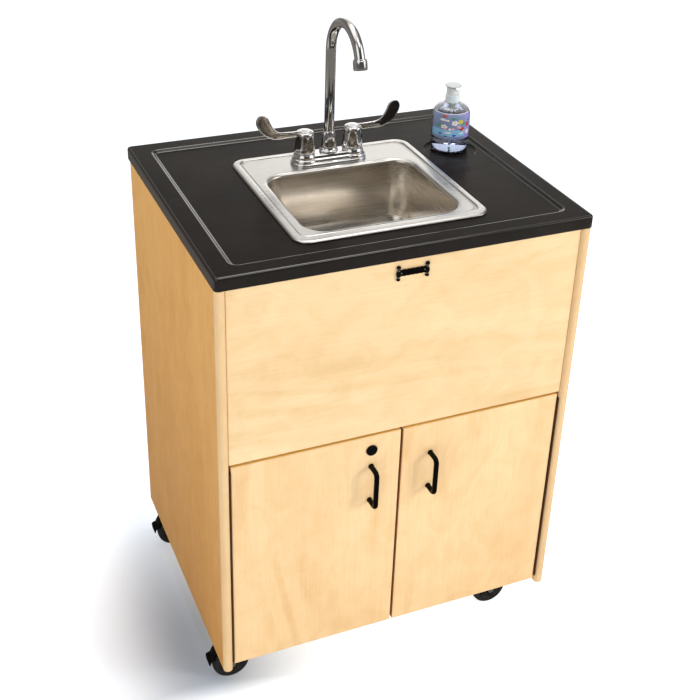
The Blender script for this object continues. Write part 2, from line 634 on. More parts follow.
side_panel("panel_side_l", -1, MAPLE_SIDE, "side_panel_left")
side_panel("panel_side_r", 1, MAPLE_RIGHT, "side_panel_right")
EDGE_X = INNER_X - GAP
board("panel_front", (-EDGE_X, FACE_Y, PANEL_BOTTOM), (EDGE_X, FACE_Y + PLY, SIDE_TOP), MAPLE_FRONT,
      "front_panel", 0.0015)
INSIDE_BACK = SIDE_BACK - 0.012 - GAP
board("panel_floor", (-EDGE_X, FACE_Y + PLY + 0.003, 0.0945), (EDGE_X, INSIDE_BACK, FLOOR_TOP), MAPLE_FLAT,
      "floor_panel", 0.0010)
board("stretcher", (-EDGE_X, INSIDE_BACK - PLY, 0.860), (EDGE_X, INSIDE_BACK, SIDE_TOP), MAPLE_FLAT,
      "rear_stretcher", 0.0010)
RAIL_Y = FACE_Y + PLY + 0.0007
board("rail_behind_doors", (-EDGE_X, RAIL_Y, 0.5530), (EDGE_X, RAIL_Y + PLY, 0.6400), MAPLE_FLAT,
      "door_rail", 0.0010)
back = box("panel_back", (-EDGE_X, SIDE_BACK - 0.012, DOOR_BOTTOM), (EDGE_X, SIDE_BACK, SIDE_TOP),
           MAPLE_BACK, 0.0008)
cut(back, sweep("tool", [(0.22, SIDE_BACK - 0.05, 0.20), (0.22, SIDE_BACK + 0.05, 0.20)], 0.0215, ZINC, 48))
place(back, "cabinet", "ply_side", "back_panel")
board("catch", (-0.0400, RAIL_Y, 0.5390), (0.0400, RAIL_Y + 0.0140, 0.5527), WHITE_CLIP, "door_catch",
      0.0016, "white_cap")

# screws round the back panel
spots = [(x, z) for z in (0.16, 0.34, 0.52, 0.70, 0.88) for x in (-0.325, 0.325)]
spots += [(x, z) for x in (-0.16, 0.0, 0.16) for z in (0.915, 0.104)]
fasteners = [screw((x, SIDE_BACK, z), "Y", ZINC, 0.0036, 0.0010, side=-1) for x, z in spots]
place(merge("back_screws", fasteners), "cabinet", "zinc")

# ---------------------------------------------------------------- doors and their hardware

for label, side, veneer in (("left", -1, MAPLE_DOORS[0]), ("right", 1, MAPLE_DOORS[1])):
    x0, x1 = sorted((side * DOOR_EDGE, side * DOOR_MEET))
    slab = box(f"slab_door_{label}", (x0, FACE_Y, DOOR_BOTTOM), (x1, FACE_Y + PLY, DOOR_TOP), veneer,
               0.0026, 5)
    if side < 0:
        cut(slab, sweep("tool", [(LOCK_X, FACE_Y - 0.05, LOCK_Z), (LOCK_X, FACE_Y + 0.05, LOCK_Z)],
                        0.0093, veneer, 48))
    # golden banding on the top and bottom edges, darker stained banding on the upright ones
    recolour(slab, MAPLE_TIP, lambda face: abs(face.normal.z) > 0.80)
    recolour(slab, MAPLE_SHUT,
             lambda face: abs(face.normal.z) <= 0.80 < abs(face.normal.x) and face.area > 1e-4)
    place(slab, f"door_{label}", "ply_light", f"door_{label}")

    x, outside = side * PULL_X, FACE_Y - PULL_OUT
    path = bent([(x, FACE_Y - GAP, PULL_TOP), (x, outside, PULL_TOP), (x, outside, PULL_BOTTOM),
                 (x, FACE_Y - GAP, PULL_BOTTOM)], 0.0090, 14)
    grip = sweep("grip", path, PULL_R, POWDER, 32)
    feet = [lathe("foot", soft([(0.0, 0.0), (0.0058, 0.0), (0.0058, 0.0010), (0.0047, 0.0018),
                                (0.0, 0.0018)]),
                  POWDER, (x, FACE_Y - GAP - 0.0001, z), "Y", 32) for z in (PULL_TOP, PULL_BOTTOM)]
    place(merge(f"grip_{label}", [grip] + feet, 50), f"door_{label}", "black_steel", f"pull_{label}")

    # continuous hinge: leaf, knuckles and screws on the door's half, then on the cabinet's half
    axis_x = side * 0.3411
    low, high, knuckles = DOOR_BOTTOM + 0.010, DOOR_TOP - 0.010, 24
    pitch = (high - low) / knuckles
    frame_x = sorted((side * (INNER_X - GAP), side * (INNER_X - GAP - 0.0008)))
    door_x = sorted((side * (DOOR_EDGE + GAP), side * (DOOR_EDGE + GAP + 0.0007)))
    for kind, (x0, x1), first, body in (("frame", frame_x, 0, "cabinet"),
                                        ("door", door_x, 1, f"door_{label}")):
        parts = [box("leaf", (x0, HINGE_Y + 0.0022, low), (x1, HINGE_Y + 0.0195, high), BRONZE)]
        for k in range(first, knuckles, 2):
            z0, z1 = low + k * pitch + 0.0001, low + (k + 1) * pitch - 0.0001
            parts.append(sweep("knuckle", [(axis_x, HINGE_Y, z0), (axis_x, HINGE_Y, z1)], 0.0016, BRONZE, 16))
            parts.append(box("tab", (x0, HINGE_Y, z0), (x1, HINGE_Y + 0.0032, z1), BRONZE))
        place(merge(f"leaf_{label}_{kind}", parts), body, "bronze_steel", f"hinge_{label}_{kind}")

# cam lock: flanged face with a turned edge, keyed plug, cam behind the rail
y = FACE_Y - GAP
face = soft([(0.0052, 0.0024), (0.0060, 0.0034), (0.0096, 0.0034), (0.0112, 0.0026), (0.0114, 0.0006),
             (0.0114, 0.0)], 3, 2)
place(lathe("lock_face", face + [(0.0090, 0.0), (0.0090, -0.0396), (0.0052, -0.0396)], GLOSS_BLACK,
            (LOCK_X, y, LOCK_Z), "Y", 64, loop=True), "door_left", "black_steel", "lock_barrel")
plug = lathe("plug", soft([(0.0, 0.0026), (0.0046, 0.0026), (0.0050, 0.0020), (0.0050, -0.0436),
                           (0.0, -0.0436)], 6, 2), GLOSS_BLACK, (LOCK_X, y, LOCK_Z), "Y", 48)
cut(plug, box("key", (LOCK_X - 0.0006, y - 0.005, LOCK_Z - 0.0034),
              (LOCK_X + 0.0006, y - 0.0008, LOCK_Z + 0.0034), ZINC))
tip = [(LOCK_X + 0.0080 * math.cos(t), LOCK_Z + 0.0070 * math.sin(t))
       for t in (math.radians(-90 + 11.25 * k) for k in range(17))]
tip += [(LOCK_X - 0.0270, LOCK_Z + 0.0060), (LOCK_X - 0.0290, LOCK_Z + 0.0040),
        (LOCK_X - 0.0290, LOCK_Z - 0.0040), (LOCK_X - 0.0270, LOCK_Z - 0.0060)]
cam = prism("cam", tip, y + 0.0399, y + 0.0424, ZINC, bevel=0.0004)
nut = prism("nut", [(LOCK_X + 0.0040 * math.cos(math.radians(60 * k)),
                     LOCK_Z + 0.0040 * math.sin(math.radians(60 * k)))
                    for k in range(6)], y + 0.0424, y + 0.0436, ZINC)
place(merge("lock_plug", [plug, cam, nut]), "lock_cam", "zinc", "lock_cam")

# blank bar between two small turned posts; it carries no lettering
plate_y, plate_z = FACE_Y - GAP, 0.9120
border = ((0.985, 0.0014), (0.975, 0.0023), (0.900, 0.0023), (0.885, 0.0014))
bar_outline = [(x, plate_z + s * (0.0062 + 0.0006 * math.cos(x * 740))) for s, xs in
               ((-1, range(-8, 9)), (1, range(8, -9, -1))) for x in (0.0255 * k / 8 for k in xs)]
parts = [prism("base", bar_outline, plate_y - 0.0016, plate_y, POWDER, bevel=0.0004),
         loft("border", [[(x * g, plate_y - h, plate_z + (tall - plate_z) * g) for x, tall in bar_outline]
                         for g, h in border], GLOSS_BLACK, loop=True)]
for sx in (-1, 1):
    post = soft([(0.0, -0.0140), (0.0035, -0.0139), (0.0039, -0.0112), (0.0025, -0.0088), (0.0025, -0.0072),
                 (0.0042, -0.0045), (0.0044, 0.0), (0.0033, 0.0040), (0.0021, 0.0058), (0.0024, 0.0072),
                 (0.0040, 0.0095), (0.0042, 0.0120), (0.0032, 0.0142), (0.0, 0.0151)], 4, 1)
    parts.append(lathe("post", post, GLOSS_BLACK, (sx * 0.0280, plate_y - 0.0012, plate_z), segments=32))
    for ring_z, ring_r in ((0.0058, 0.0028), (0.0096, 0.0043), (-0.0080, 0.0032)):
        band = soft([(0.0, -0.0007), (ring_r - 0.0004, -0.0007), (ring_r, 0.0), (ring_r - 0.0004, 0.0007),
                     (0.0, 0.0007)])
        parts.append(lathe("band", band, SATIN_CHROME, (sx * 0.0280, plate_y - 0.0012, plate_z + ring_z),
                           segments=32))
    parts.append(lathe("pin", [(0.0, 0.0034), (0.0008, 0.0033), (0.0012, 0.0028), (0.0013, 0.0014),
                               (0.0, 0.0014)], SATIN_CHROME, (sx * 0.0228, plate_y, plate_z), "Y", 20))
place(merge("blank_plate", parts, 50), "cabinet", "black_steel", "nameplate")

# ---------------------------------------------------------------- countertop


def arc(z0, grow0, z1, grow1, steps, hollow=False):
    """A quarter round from (z0, grow0) to (z1, grow1), both included."""
    points = []
    for k in range(steps + 1):
        t = math.pi / 2 * k / steps
        a, b = (1 - math.cos(t), math.sin(t)) if hollow else (math.sin(t), 1 - math.cos(t))
        points.append((z0 + (z1 - z0) * a, grow0 + (grow1 - grow0) * b))
    return points


EDGE_R, BOTTOM = 0.0050, TOP_Z - TOP_T
outer_profile = [(BOTTOM, -0.0030)] + arc(BOTTOM, -0.0015, BOTTOM + 0.0015, 0.0, 4, True)
outer_profile += [(BOTTOM + 0.008, 0.0)] + arc(TOP_Z - EDGE_R, 0.0, TOP_Z, -EDGE_R, 9)
rings = [lifted(rounded(0, 0, TOP_W, TOP_D, 0.009, 10, grow), z) for z, grow in outer_profile]
skirt = len(rings)
SLOPE = 0.0095  # width of the step down to the field
cx, cy, width, depth = FIELD
for k in range(15):
    t = k / 14
    drop = (TOP_Z - FIELD_Z) * (0.5 - 0.5 * math.cos(math.pi * t))
    rings.append(lifted(rounded(cx, cy, width, depth, 0.014, 10, 0.0045 - SLOPE * t), TOP_Z - drop))
cx, cy, width, depth = RIM
for z in (FIELD_Z, BOTTOM + 0.010, BOTTOM):
    rings.append(lifted(rounded(cx, cy, width - 0.020, depth - 0.020, 0.030, 10), z))
# stretched and wiped, the skirt and the step are glossier than the flat
top = loft("counter_moulding", rings, BLACK_TOP, BLACK_EDGE, loop=True, angle=50,
           ring_index=lambda i: 1 if i < skirt - 1 or skirt <= i < skirt + 14 else 0)
recess = [(0.0, SOAP_FLOOR), (SOAP_R - 0.0001, SOAP_FLOOR)]
recess += [(SOAP_R + 0.0018 * math.sin(t), SOAP_FLOOR + 0.0018 * (1 - math.cos(t)))
           for t in (math.radians(15 * k) for k in range(1, 7))]
recess += [(SOAP_R + 0.0037 - 0.0015 * math.cos(t), FIELD_Z - 0.0013 + 0.0014 * math.sin(t))
           for t in (math.radians(15 * k) for k in range(7))]
recess += [(SOAP_R + 0.0037, FIELD_Z + 0.02), (0.0, FIELD_Z + 0.02)]
cut(top, lathe("tool", recess, BLACK_TOP, (SOAP_X, SOAP_Y, 0), segments=96))
for face in top.data.polygons:
    off = math.hypot(face.center.x - SHIFT.x - SOAP_X, face.center.y - SHIFT.y - SOAP_Y)
    if SOAP_R - 0.0002 < off < SOAP_R + 0.0040 and abs(face.normal.z) < 0.98:
        face.material_index = 1
smooth(top.data, 50)
place(top, "cabinet", "black_abs", "countertop")

# ---------------------------------------------------------------- basin

rx, ry, rw, rd = RIM
bx, by, bw, bd = BOWL
BASE = DECK_Z - BOWL_DEPTH
LIP = 0.0070


def rim(z, grow, front=0.0, radius=0.030):
    """The flange's outline; front pulls its front edge back, which leaves a wider strip there."""
    return lifted(rounded(rx, ry + front / 2, rw, rd - front, radius, 14, grow), z)


def bowl(z, grow, radius=0.042):
    return lifted(rounded(bx, by, bw, bd, radius, 14, grow), z)


rows = [(rim(FIELD_Z + GAP, 0.0), 0)]
for z, grow in arc(FIELD_Z + 0.0012, 0.0003, RIM_Z - 0.0002, -0.0060, 8):
    rows.append((rim(z, grow), 0))
rows += [(rim(RIM_Z, -0.0085, 0.002), 0), (rim(RIM_Z - 0.0001, -0.0110, 0.004), 0)]
for k in range(9):  # crease: down from the rolled band, then a shallow rise to the deck
    t = k / 8
    sink_in = 0.0034 * math.sin(math.pi * min(t / 0.62, 1.0) / 2)
    z = RIM_Z - 0.0002 - sink_in + 0.0014 * max(0.0, (t - 0.62) / 0.38)
    rows.append((rim(z, -0.0125 - 0.0050 * t, 0.006 + 0.002 * t, 0.034), 0))
flat = RIM_Z - 0.0022
rows.append((rim(flat, -0.0200, 0.0085, 0.036), 0))
rows.append((bowl(flat, 0.0110), 0))
for k in range(10):
    t = math.pi / 2 * k / 9
    rows.append((bowl(flat - LIP + LIP * math.cos(t), 0.0085 * (1 - math.sin(t))), 0 if k < 5 else 1))
for k in range(1, 9):
    t = k / 8
    rows.append((bowl(flat - LIP - (BOWL_DEPTH - LIP - 0.0380) * t, -0.0072 * t), 1))
for k in range(1, 13):  # cove into the floor
    t = math.pi / 2 * k / 12
    rows.append((bowl(BASE + 0.0335 * (1 - math.sin(t)) + 0.0004, -0.0072 - 0.0260 * (1 - math.cos(t)),
                      0.046), 1))
rows.append((bowl(BASE - 0.0006, -0.0550, 0.062), 1))
count = len(rows[0][0])
rows.append((lifted(circle(bx, by, 0.0550, count), BASE - 0.0016), 1))
rows.append((lifted(circle(bx, by, 0.0540, count), BASE - 0.0032), 1))
rows.append((lifted(circle(bx, by, DRAIN_R, count), BASE - 0.0036), 1))
for z, grow, radius in ((BASE - 0.0050, None, 0.0), (BASE - SHEET - 0.0010, -0.0560, 0.062),
                        (BASE + 0.0030 - SHEET, -0.0300, 0.046), (BASE + 0.0335, -0.0060, 0.042),
                        (flat - 0.020, 0.0012, 0.042), (flat - LIP, 0.0014, 0.042),
                        (flat - SHEET, 0.0100, 0.042)):
    rows.append((lifted(circle(bx, by, DRAIN_R, count), z) if grow is None else bowl(z, grow, radius), 1))
rows += [(rim(flat - SHEET, -0.0200, 0.0085, 0.036), 0), (rim(RIM_Z - SHEET - 0.0006, -0.0110, 0.004), 0),
         (rim(FIELD_Z + GAP, -0.0022), 0)]
sink = loft("pressed_basin", [r for r, _ in rows], STEEL_DECK, STEEL_BOWL, loop=True, angle=60,
            ring_index=lambda i: rows[i][1])
place(sink, "cabinet", "stainless", "sink_basin")

seat = BASE - 0.0030
outside = [(0.0200, seat - 0.0900), (0.0200, seat - 0.0560), (0.0360, seat - 0.0520), (0.0400, seat - 0.0460),
           (0.0400, seat - 0.0200), (0.0540, seat - 0.0190), (0.0540, seat - 0.0110), (0.0420, seat - 0.0100),
           (0.0425, seat + 0.0010), (0.0525, seat + 0.0030), (0.0530, seat + 0.0042), (0.0500, seat + 0.0050),
           (0.0440, seat + 0.0040)]
inside = [(0.0405, seat + 0.0005), (0.0385, seat - 0.0100), (0.0370, seat - 0.0440), (0.0340, seat - 0.0490),
          (0.0180, seat - 0.0530), (0.0180, seat - 0.0900)]
cup = lathe("cup", outside + inside, STEEL_DRAIN, (bx, by, 0), segments=64, loop=True)
nuts = [lathe("nut", soft([(0.0405, seat - 0.0330), (0.0480, seat - 0.0330), (0.0480, seat - 0.0240),
                           (0.0405, seat - 0.0240)], 4, 1), BRASS, (bx, by, 0), segments=12, angle=20),
        lathe("slip", soft([(0.0205, seat - 0.0890), (0.0255, seat - 0.0890), (0.0265, seat - 0.0760),
                            (0.0230, seat - 0.0720), (0.0205, seat - 0.0720)], 4, 1), WHITE_PUMP, (bx, by, 0),
              segments=40)]
place(merge("drain_cup", [cup] + nuts), "cabinet", "stainless", "drain_body")

basket = lathe("basket", soft([(0.0, seat - 0.0300), (0.0300, seat - 0.0300), (0.0340, seat - 0.0270),
                               (0.0360, seat - 0.0040), (0.0375, seat - 0.0015), (0.0375, seat - 0.0003),
                               (0.0345, seat - 0.0015), (0.0325, seat - 0.0260), (0.0290, seat - 0.0285),
                               (0.0, seat - 0.0288)], 5, 1), STEEL_DRAIN, (bx, by, 0), segments=64)
for radius, number in ((0.0110, 8), (0.0180, 12), (0.0250, 16)):
    for k in range(number):
        t = 2 * math.pi * (k + 0.5 * (number == 12)) / number
        x, y = bx + radius * math.cos(t), by + radius * math.sin(t)
        cut(basket, sweep("tool", [(x, y, seat - 0.032), (x, y, seat - 0.026)], 0.0019, STEEL_DRAIN, 12))
knob = lathe("knob", soft([(0.0, seat - 0.0292), (0.0060, seat - 0.0290), (0.0040, seat - 0.0260),
                           (0.0030, seat - 0.0090), (0.0070, seat - 0.0060), (0.0078, seat - 0.0020),
                           (0.0055, seat), (0.0, seat + 0.0006)], 4, 2), STEEL_DRAIN, (bx, by, 0),
             segments=40)
place(merge("strainer", [basket, knob]), "strainer", "stainless", "strainer_basket")

# ---------------------------------------------------------------- faucet

base = DECK_Z + GAP


def oval(z, width, depth, radius, grow=0.0):
    return lifted(rounded(0, TAP_Y, width, depth, radius, 16, grow), z)


steps = [(-0.0012, -0.0006), (0.0, 0.0), (0.0030, 0.0), (0.0044, -0.0008), (0.0052, -0.0024),
         (0.0054, -0.0040), (0.0060, -0.0048), (0.0068, -0.0050), (0.0090, -0.0052)]
parts = [loft("foot", [oval(base + z, 0.1580, 0.0540, 0.0265, g) for z, g in steps], CHROME, angle=50)]
bar = [(0.0060, 0.0), (0.0085, 0.0012), (0.0105, 0.0006), (0.0120, -0.0018), (0.0140, -0.0030),
       (0.0168, -0.0034), (0.0184, -0.0050), (0.0190, -0.0090)]
parts.append(loft("bar", [oval(base + z, 0.132, 0.0400, 0.008, g) for z, g in bar], CHROME, angle=50))
for sx in (-1, 1):
    boss = soft([(0.0, base + 0.0030), (0.0250, base + 0.0030), (0.0262, base + 0.0078),
                 (0.0246, base + 0.0112), (0.0222, base + 0.0124), (0.0224, base + 0.0165),
                 (0.0208, base + 0.0196), (0.0200, base + 0.0224), (0.0, base + 0.0224)], 4, 2)
    parts.append(lathe("boss", boss, CHROME, (sx * TAP_X, TAP_Y, 0), segments=72, angle=60))
    shank = [(0.0, 0.9052)]
    for k in range(26):
        z = 0.9056 + 0.0020 * k
        shank += [(0.0096, z), (0.0103, z + 0.0010)]
    shank += [(0.0103, base + 0.010), (0.0, base + 0.010)]
    parts.append(lathe("shank", shank, BRASS, (sx * TAP_X, TAP_Y, 0), segments=28, angle=20))
    parts.append(lathe("backnut", soft([(0.0104, 0.9290), (0.0190, 0.9290), (0.0190, 0.9360),
                                        (0.0104, 0.9360)], 5, 1),
                       BLACK_PLASTIC, (sx * TAP_X, TAP_Y, 0), segments=12, angle=20))
collar = soft([(TUBE_R + 0.0003, base + 0.0200), (0.0178, base + 0.0186), (0.0190, base + 0.0204),
               (0.0186, base + 0.0232), (0.0160, base + 0.0252), (0.0146, base + 0.0300),
               (0.0142, base + 0.0420), (0.0130, base + 0.0540), (0.0116, base + 0.0606),
               (0.0108, base + 0.0620), (TUBE_R + 0.0003, base + 0.0622)], 4, 2)
parts.append(lathe("bell", collar + [(TUBE_R + 0.0003, base + 0.0200)], CHROME, (0, TAP_Y, 0), segments=72,
                   angle=60))
place(merge("tap_body", parts, 50), "cabinet", "chrome", "faucet_body")

foot_z = base + 0.0215
path = [(0, TAP_Y, foot_z + (NECK_Z - foot_z) * k / 10) for k in range(10)]
TURNS = 48
for k in range(TURNS + 1):
    t = math.radians(168 * k / TURNS)
    path.append((0, TAP_Y - NECK_R + NECK_R * math.cos(t), NECK_Z + NECK_R * math.sin(t)))
place(sweep("gooseneck", path, TUBE_R, CHROME, 56), "spout", "chrome", "spout")
end, before = Vector(path[-1]), Vector(path[-2])
tilt = Vector((0, 0, -1)).rotation_difference((end - before).normalized()).to_matrix().to_4x4()
sleeve = soft([(0.0103, 0.0095), (0.0117, 0.0097), (0.0122, 0.0090), (0.0123, 0.0070), (0.0131, 0.0062),
               (0.0133, 0.0050), (0.0133, -0.0080), (0.0126, -0.0102), (0.0108, -0.0107), (0.0096, -0.0100),
               (0.0094, -0.0080)], 4, 1)
tip = lathe("sleeve", sleeve + [(0.0103, -0.0080)], CHROME, end, segments=64, loop=True, tilt=tilt)
mesh_disc = lathe("screen", [(0.0, -0.0088), (0.0096, -0.0088), (0.0096, -0.0080), (0.0, -0.0080)],
                  SATIN_CHROME, end, segments=48, tilt=tilt)
place(merge("spray_tip", [tip, mesh_disc], 50), "spout", "chrome", "aerator")


def blade_handle(name, side):
    """Fluted tapering hub with a satin disc on top, and a wrist blade that sweeps up to a round paddle."""
    low = DECK_Z + GAP + 0.0224 + GAP
    centre = (side * TAP_X, TAP_Y, 0)
    rows = []
    for z, radius, flute in ((0.0, 0.0190, 0.0), (0.0016, 0.0204, 0.0), (0.0060, 0.0207, 0.0002),
                             (0.0120, 0.0204, 0.0007), (0.0210, 0.0196, 0.0010), (0.0300, 0.0189, 0.0009),
                             (0.0370, 0.0184, 0.0004), (0.0404, 0.0178, 0.0), (0.0424, 0.0166, 0.0),
                             (0.0432, 0.0150, 0.0), (0.0433, 0.0132, 0.0)):
        rows.append([(centre[0] + (radius - flute * (0.5 - 0.5 * math.cos(8 * t))) * math.cos(t),
                      centre[1] + (radius - flute * (0.5 - 0.5 * math.cos(8 * t))) * math.sin(t), low + z)
                     for t in (2 * math.pi * k / 96 for k in range(96))])
    parts = [loft("hub", rows, CHROME, angle=60),
             lathe("disc", soft([(0.0, low + 0.0428), (0.0128, low + 0.0428), (0.0130, low + 0.0440),
                                 (0.0122, low + 0.0450), (0.0, low + 0.0454)], 4, 2), SATIN_CHROME, centre,
                   segments=64),
             lathe("index", [(0.0, low + 0.0450), (0.0044, low + 0.0450), (0.0044, low + 0.0456),
                             (0.0040, low + 0.0458), (0.0, low + 0.0458)], SATIN_CHROME, centre, segments=40)]
    # distance from the hub's axis, height above the deck, half width: the blade stands upright, along X
    stations = [(0.0100, 0.0625, 0.0062), (0.0240, 0.0624, 0.0061), (0.0400, 0.0627, 0.0063),
                (0.0520, 0.0632, 0.0070), (0.0625, 0.0658, 0.0088), (0.0715, 0.0715, 0.0108),
                (0.0795, 0.0800, 0.0124), (0.0856, 0.0900, 0.0135), (0.0886, 0.0980, 0.0130),
                (0.0900, 0.1030, 0.0106), (0.0908, 0.1068, 0.0068), (0.0912, 0.1090, 0.0020)]
    stations = [Vector(s) for s in stations]
    fine = spline([stations[0]] + stations + [stations[-1]], 5)
    rings = []
    for i, (out, up, half) in enumerate(fine):
        a, b = fine[max(i - 1, 0)], fine[min(i + 1, len(fine) - 1)]
        length = math.hypot(b[0] - a[0], b[1] - a[1])
        nx, nz = -(b[1] - a[1]) / length, (b[0] - a[0]) / length
        # the paddle's face is dished inside its rim
        hollow = 0.34 * min(1.0, max(0.0, (out - 0.046) / 0.020))
        ring = []
        for k in range(36):
            t = 2 * math.pi * k / 36
            across = math.copysign(abs(math.cos(t)) ** 0.75, math.cos(t))
            dish = 1.0 - hollow * (1.0 - min(1.0, abs(across) / 0.82) ** 4)
            through = math.copysign(abs(math.sin(t)) ** 0.5, math.sin(t)) * dish * BLADE_T / 2
            if i > len(fine) - 4:
                through *= (0.92, 0.78, 0.45)[i - len(fine) + 3]
            ring.append((side * (TAP_X + out + nx * across * half), TAP_Y + through,
                         DECK_Z + up + nz * across * half))
        rings.append(ring)
    parts.append(loft("blade", rings, CHROME, angle=70))
    place(merge(f"{name}_lever", parts, 60), name, "chrome", name)


blade_handle("handle_hot", -1)
blade_handle("handle_cold", 1)

# ---------------------------------------------------------------- soap bottle

z = SOAP_FLOOR + GAP
at = (BOTTLE_X, BOTTLE_Y, 0)


def raised(profile):
    return [(radius, z + height) for radius, height in profile]


wall = raised([(0.0, 0.0070), (0.0120, 0.0062), (0.0240, 0.0034), (0.0325, 0.0), (0.0362, 0.0006),
               (0.0380, 0.0045), (0.0388, 0.0160), (0.0389, 0.0400), (0.0384, 0.0620), (0.0378, 0.0800),
               (0.0356, 0.0865), (0.0315, 0.0918), (0.0243, 0.0971), (0.0160, 0.1000), (0.0122, 0.1008),
               (0.0118, 0.1020), (0.0118, 0.1040)])
inner = raised([(0.0100, 0.1040), (0.0100, 0.0990), (0.0232, 0.0957), (0.0304, 0.0906), (0.0343, 0.0856),
                (0.0363, 0.0795), (0.0369, 0.0620), (0.0374, 0.0400), (0.0373, 0.0160), (0.0365, 0.0060),
                (0.0330, 0.0036), (0.0240, 0.0058), (0.0120, 0.0086), (0.0, 0.0094)])
place(lathe("bottle", soft(wall, 4, 1) + soft(inner, 4, 1), CLEAR, at, segments=80, angle=70), "soap_bottle",
      "clear_pet", "soap_bottle")
gel = raised([(0.0, 0.0098), (0.0120, 0.0090), (0.0240, 0.0062), (0.0327, 0.0040), (0.0361, 0.0064),
              (0.0370, 0.0160), (0.0371, 0.0400), (0.0366, 0.0620), (0.0360, 0.0793), (0.0340, 0.0853),
              (0.0310, 0.0894), (0.0304, 0.0900), (0.0067, 0.0900), (0.0067, 0.0858), (0.0035, 0.0834),
              (0.0035, 0.0122), (0.0, 0.0122)])
place(lathe("gel", soft(gel, 4, 1), SOAP_GEL, at, segments=80, angle=40), "soap_bottle", "clear_pet")

# cap with a ribbed skirt and a well that the head sinks into
neck = soft(raised([(0.0126, 0.1046), (0.0126, 0.1018), (0.0138, 0.1016), (0.0142, 0.1028),
                    (0.0141, 0.1100), (0.0140, 0.1164), (0.0136, 0.1178), (0.0129, 0.1180),
                    (0.0127, 0.1166), (0.0127, 0.1065), (0.0127, 0.1060), (0.0122, 0.1060),
                    (0.0048, 0.1060), (0.0048, 0.1046)]), 5, 1)
collar_rows, ribs = [], 36
for radius, height in neck:
    ring, rib = [], 0.00035 if radius > 0.01385 else 0.0
    for k in range(ribs * 4):
        t = 2 * math.pi * k / (ribs * 4)
        r = radius + rib * (0.5 + 0.5 * math.cos(ribs * t))
        ring.append((BOTTLE_X + r * math.cos(t), BOTTLE_Y + r * math.sin(t), height))
    collar_rows.append(ring)
neck_piece = loft("neck", collar_rows, WHITE_PUMP, loop=True, angle=50)
tube = lathe("tube", soft(raised([(0.0, 0.0125), (0.0032, 0.0125), (0.0032, 0.0836), (0.0064, 0.0860),
                                  (0.0064, 0.1048), (0.0049, 0.1048), (0.0049, 0.0936), (0.0049, 0.0930),
                                  (0.0043, 0.0930), (0.0, 0.0930)]), 6, 1), WHITE_PUMP, at, segments=32)
place(merge("pump_neck", [neck_piece, tube], 50), "soap_bottle", "white_cap", "pump_collar")
head = lathe("head", soft(raised([(0.0, 0.1064), (0.0042, 0.1064), (0.0042, 0.1163), (0.0042, 0.1168),
                                  (0.0047, 0.1168), (0.0120, 0.1168), (0.0125, 0.1180), (0.0125, 0.1290),
                                  (0.0129, 0.1326), (0.0150, 0.1345), (0.0166, 0.1355), (0.0169, 0.1364),
                                  (0.0163, 0.1374), (0.0110, 0.1384),
                                  (0.0, 0.1388)]), 4, 2), WHITE_PUMP, at, segments=64, angle=60)
spout_path = curve([(BOTTLE_X, BOTTLE_Y - 0.0060, z + 0.1330), (BOTTLE_X, BOTTLE_Y - 0.0120, z + 0.1331),
                    (BOTTLE_X, BOTTLE_Y - 0.0180, z + 0.1329), (BOTTLE_X, BOTTLE_Y - 0.0250, z + 0.1312)], 6)
beak = sweep("beak", spout_path, [0.0038 - 0.0008 * k / (len(spout_path) - 1)
                                  for k in range(len(spout_path))], WHITE_PUMP, 24)
recolour(head, WHITE_DISC, lambda face: face.center.z > z + 0.1338)
place(merge("pump_top", [head, beak], 60), "pump_head", "white_cap", "pump_head")

# printed film on the bottle: plain fruit, blossom and leaf shapes, with no lettering
FILM = plain("label_film", (0.290, 0.360, 0.600), 0.22, 300, 0.03, 0.1, 0.10, coat=0.3, coat_rough=0.08,
             alpha=0.70)
PRINTS = {"sky": (0.23, 0.50, 0.74), "red": (0.48, 0.045, 0.035), "yellow": (0.66, 0.56, 0.08),
          "green": (0.06, 0.30, 0.13), "white": (0.80, 0.80, 0.83), "pink": (0.72, 0.42, 0.50),
          "navy": (0.03, 0.05, 0.30), "violet": (0.30, 0.26, 0.66)}
INKS = {name: plain(f"print_{name}", rgb, 0.22, 300, 0.03, 0.1, 0.12, coat=0.3, coat_rough=0.08)
        for name, rgb in PRINTS.items()}


def body_radius(height):
    """The bottle's outer radius at a height above its foot."""
    table = [(0.0160, 0.0388), (0.0400, 0.0389), (0.0620, 0.0384), (0.0800, 0.0378), (0.0865, 0.0356),
             (0.0918, 0.0315)]
    for (h0, r0), (h1, r1) in zip(table, table[1:]):
        if height <= h1:
            return r0 + (r1 - r0) * max(0.0, (height - h0) / (h1 - h0))
    return table[-1][1]


def on_bottle(degrees, height, lift):
    """The point that far round from the bottle's front, and just off its wall."""
    t, r = math.radians(degrees - 90), body_radius(height) + lift
    return BOTTLE_X + r * math.cos(t), BOTTLE_Y + r * math.sin(t), z + height


def printed(name, verts, faces, material):
    obj = make(name, verts, faces, material, angle=80)
    if obj.data.polygons[0].normal.dot(Vector(verts[0]) - Vector((BOTTLE_X, BOTTLE_Y, verts[0][2]))) < 0:
        obj.data.flip_normals()
    return obj


def patch(name, outline, material, lift):
    """A flat print wrapped on the bottle. outline holds (degrees round from the front, height) points."""
    verts = []
    middle = (sum(p[0] for p in outline) / len(outline), sum(p[1] for p in outline) / len(outline))
    for scale in (0.0, 0.5, 1.0):
        for a, h in outline if scale else [outline[0]]:
            a, h = middle[0] + (a - middle[0]) * scale, middle[1] + (h - middle[1]) * scale
            verts.append(on_bottle(a, h, lift))
    n = len(outline)
    faces = [(0, 1 + k, 1 + (k + 1) % n) for k in range(n)]
    faces += [(1 + k, 1 + n + k, 1 + n + (k + 1) % n, 1 + (k + 1) % n) for k in range(n)]
    return printed(name, verts, faces, material)


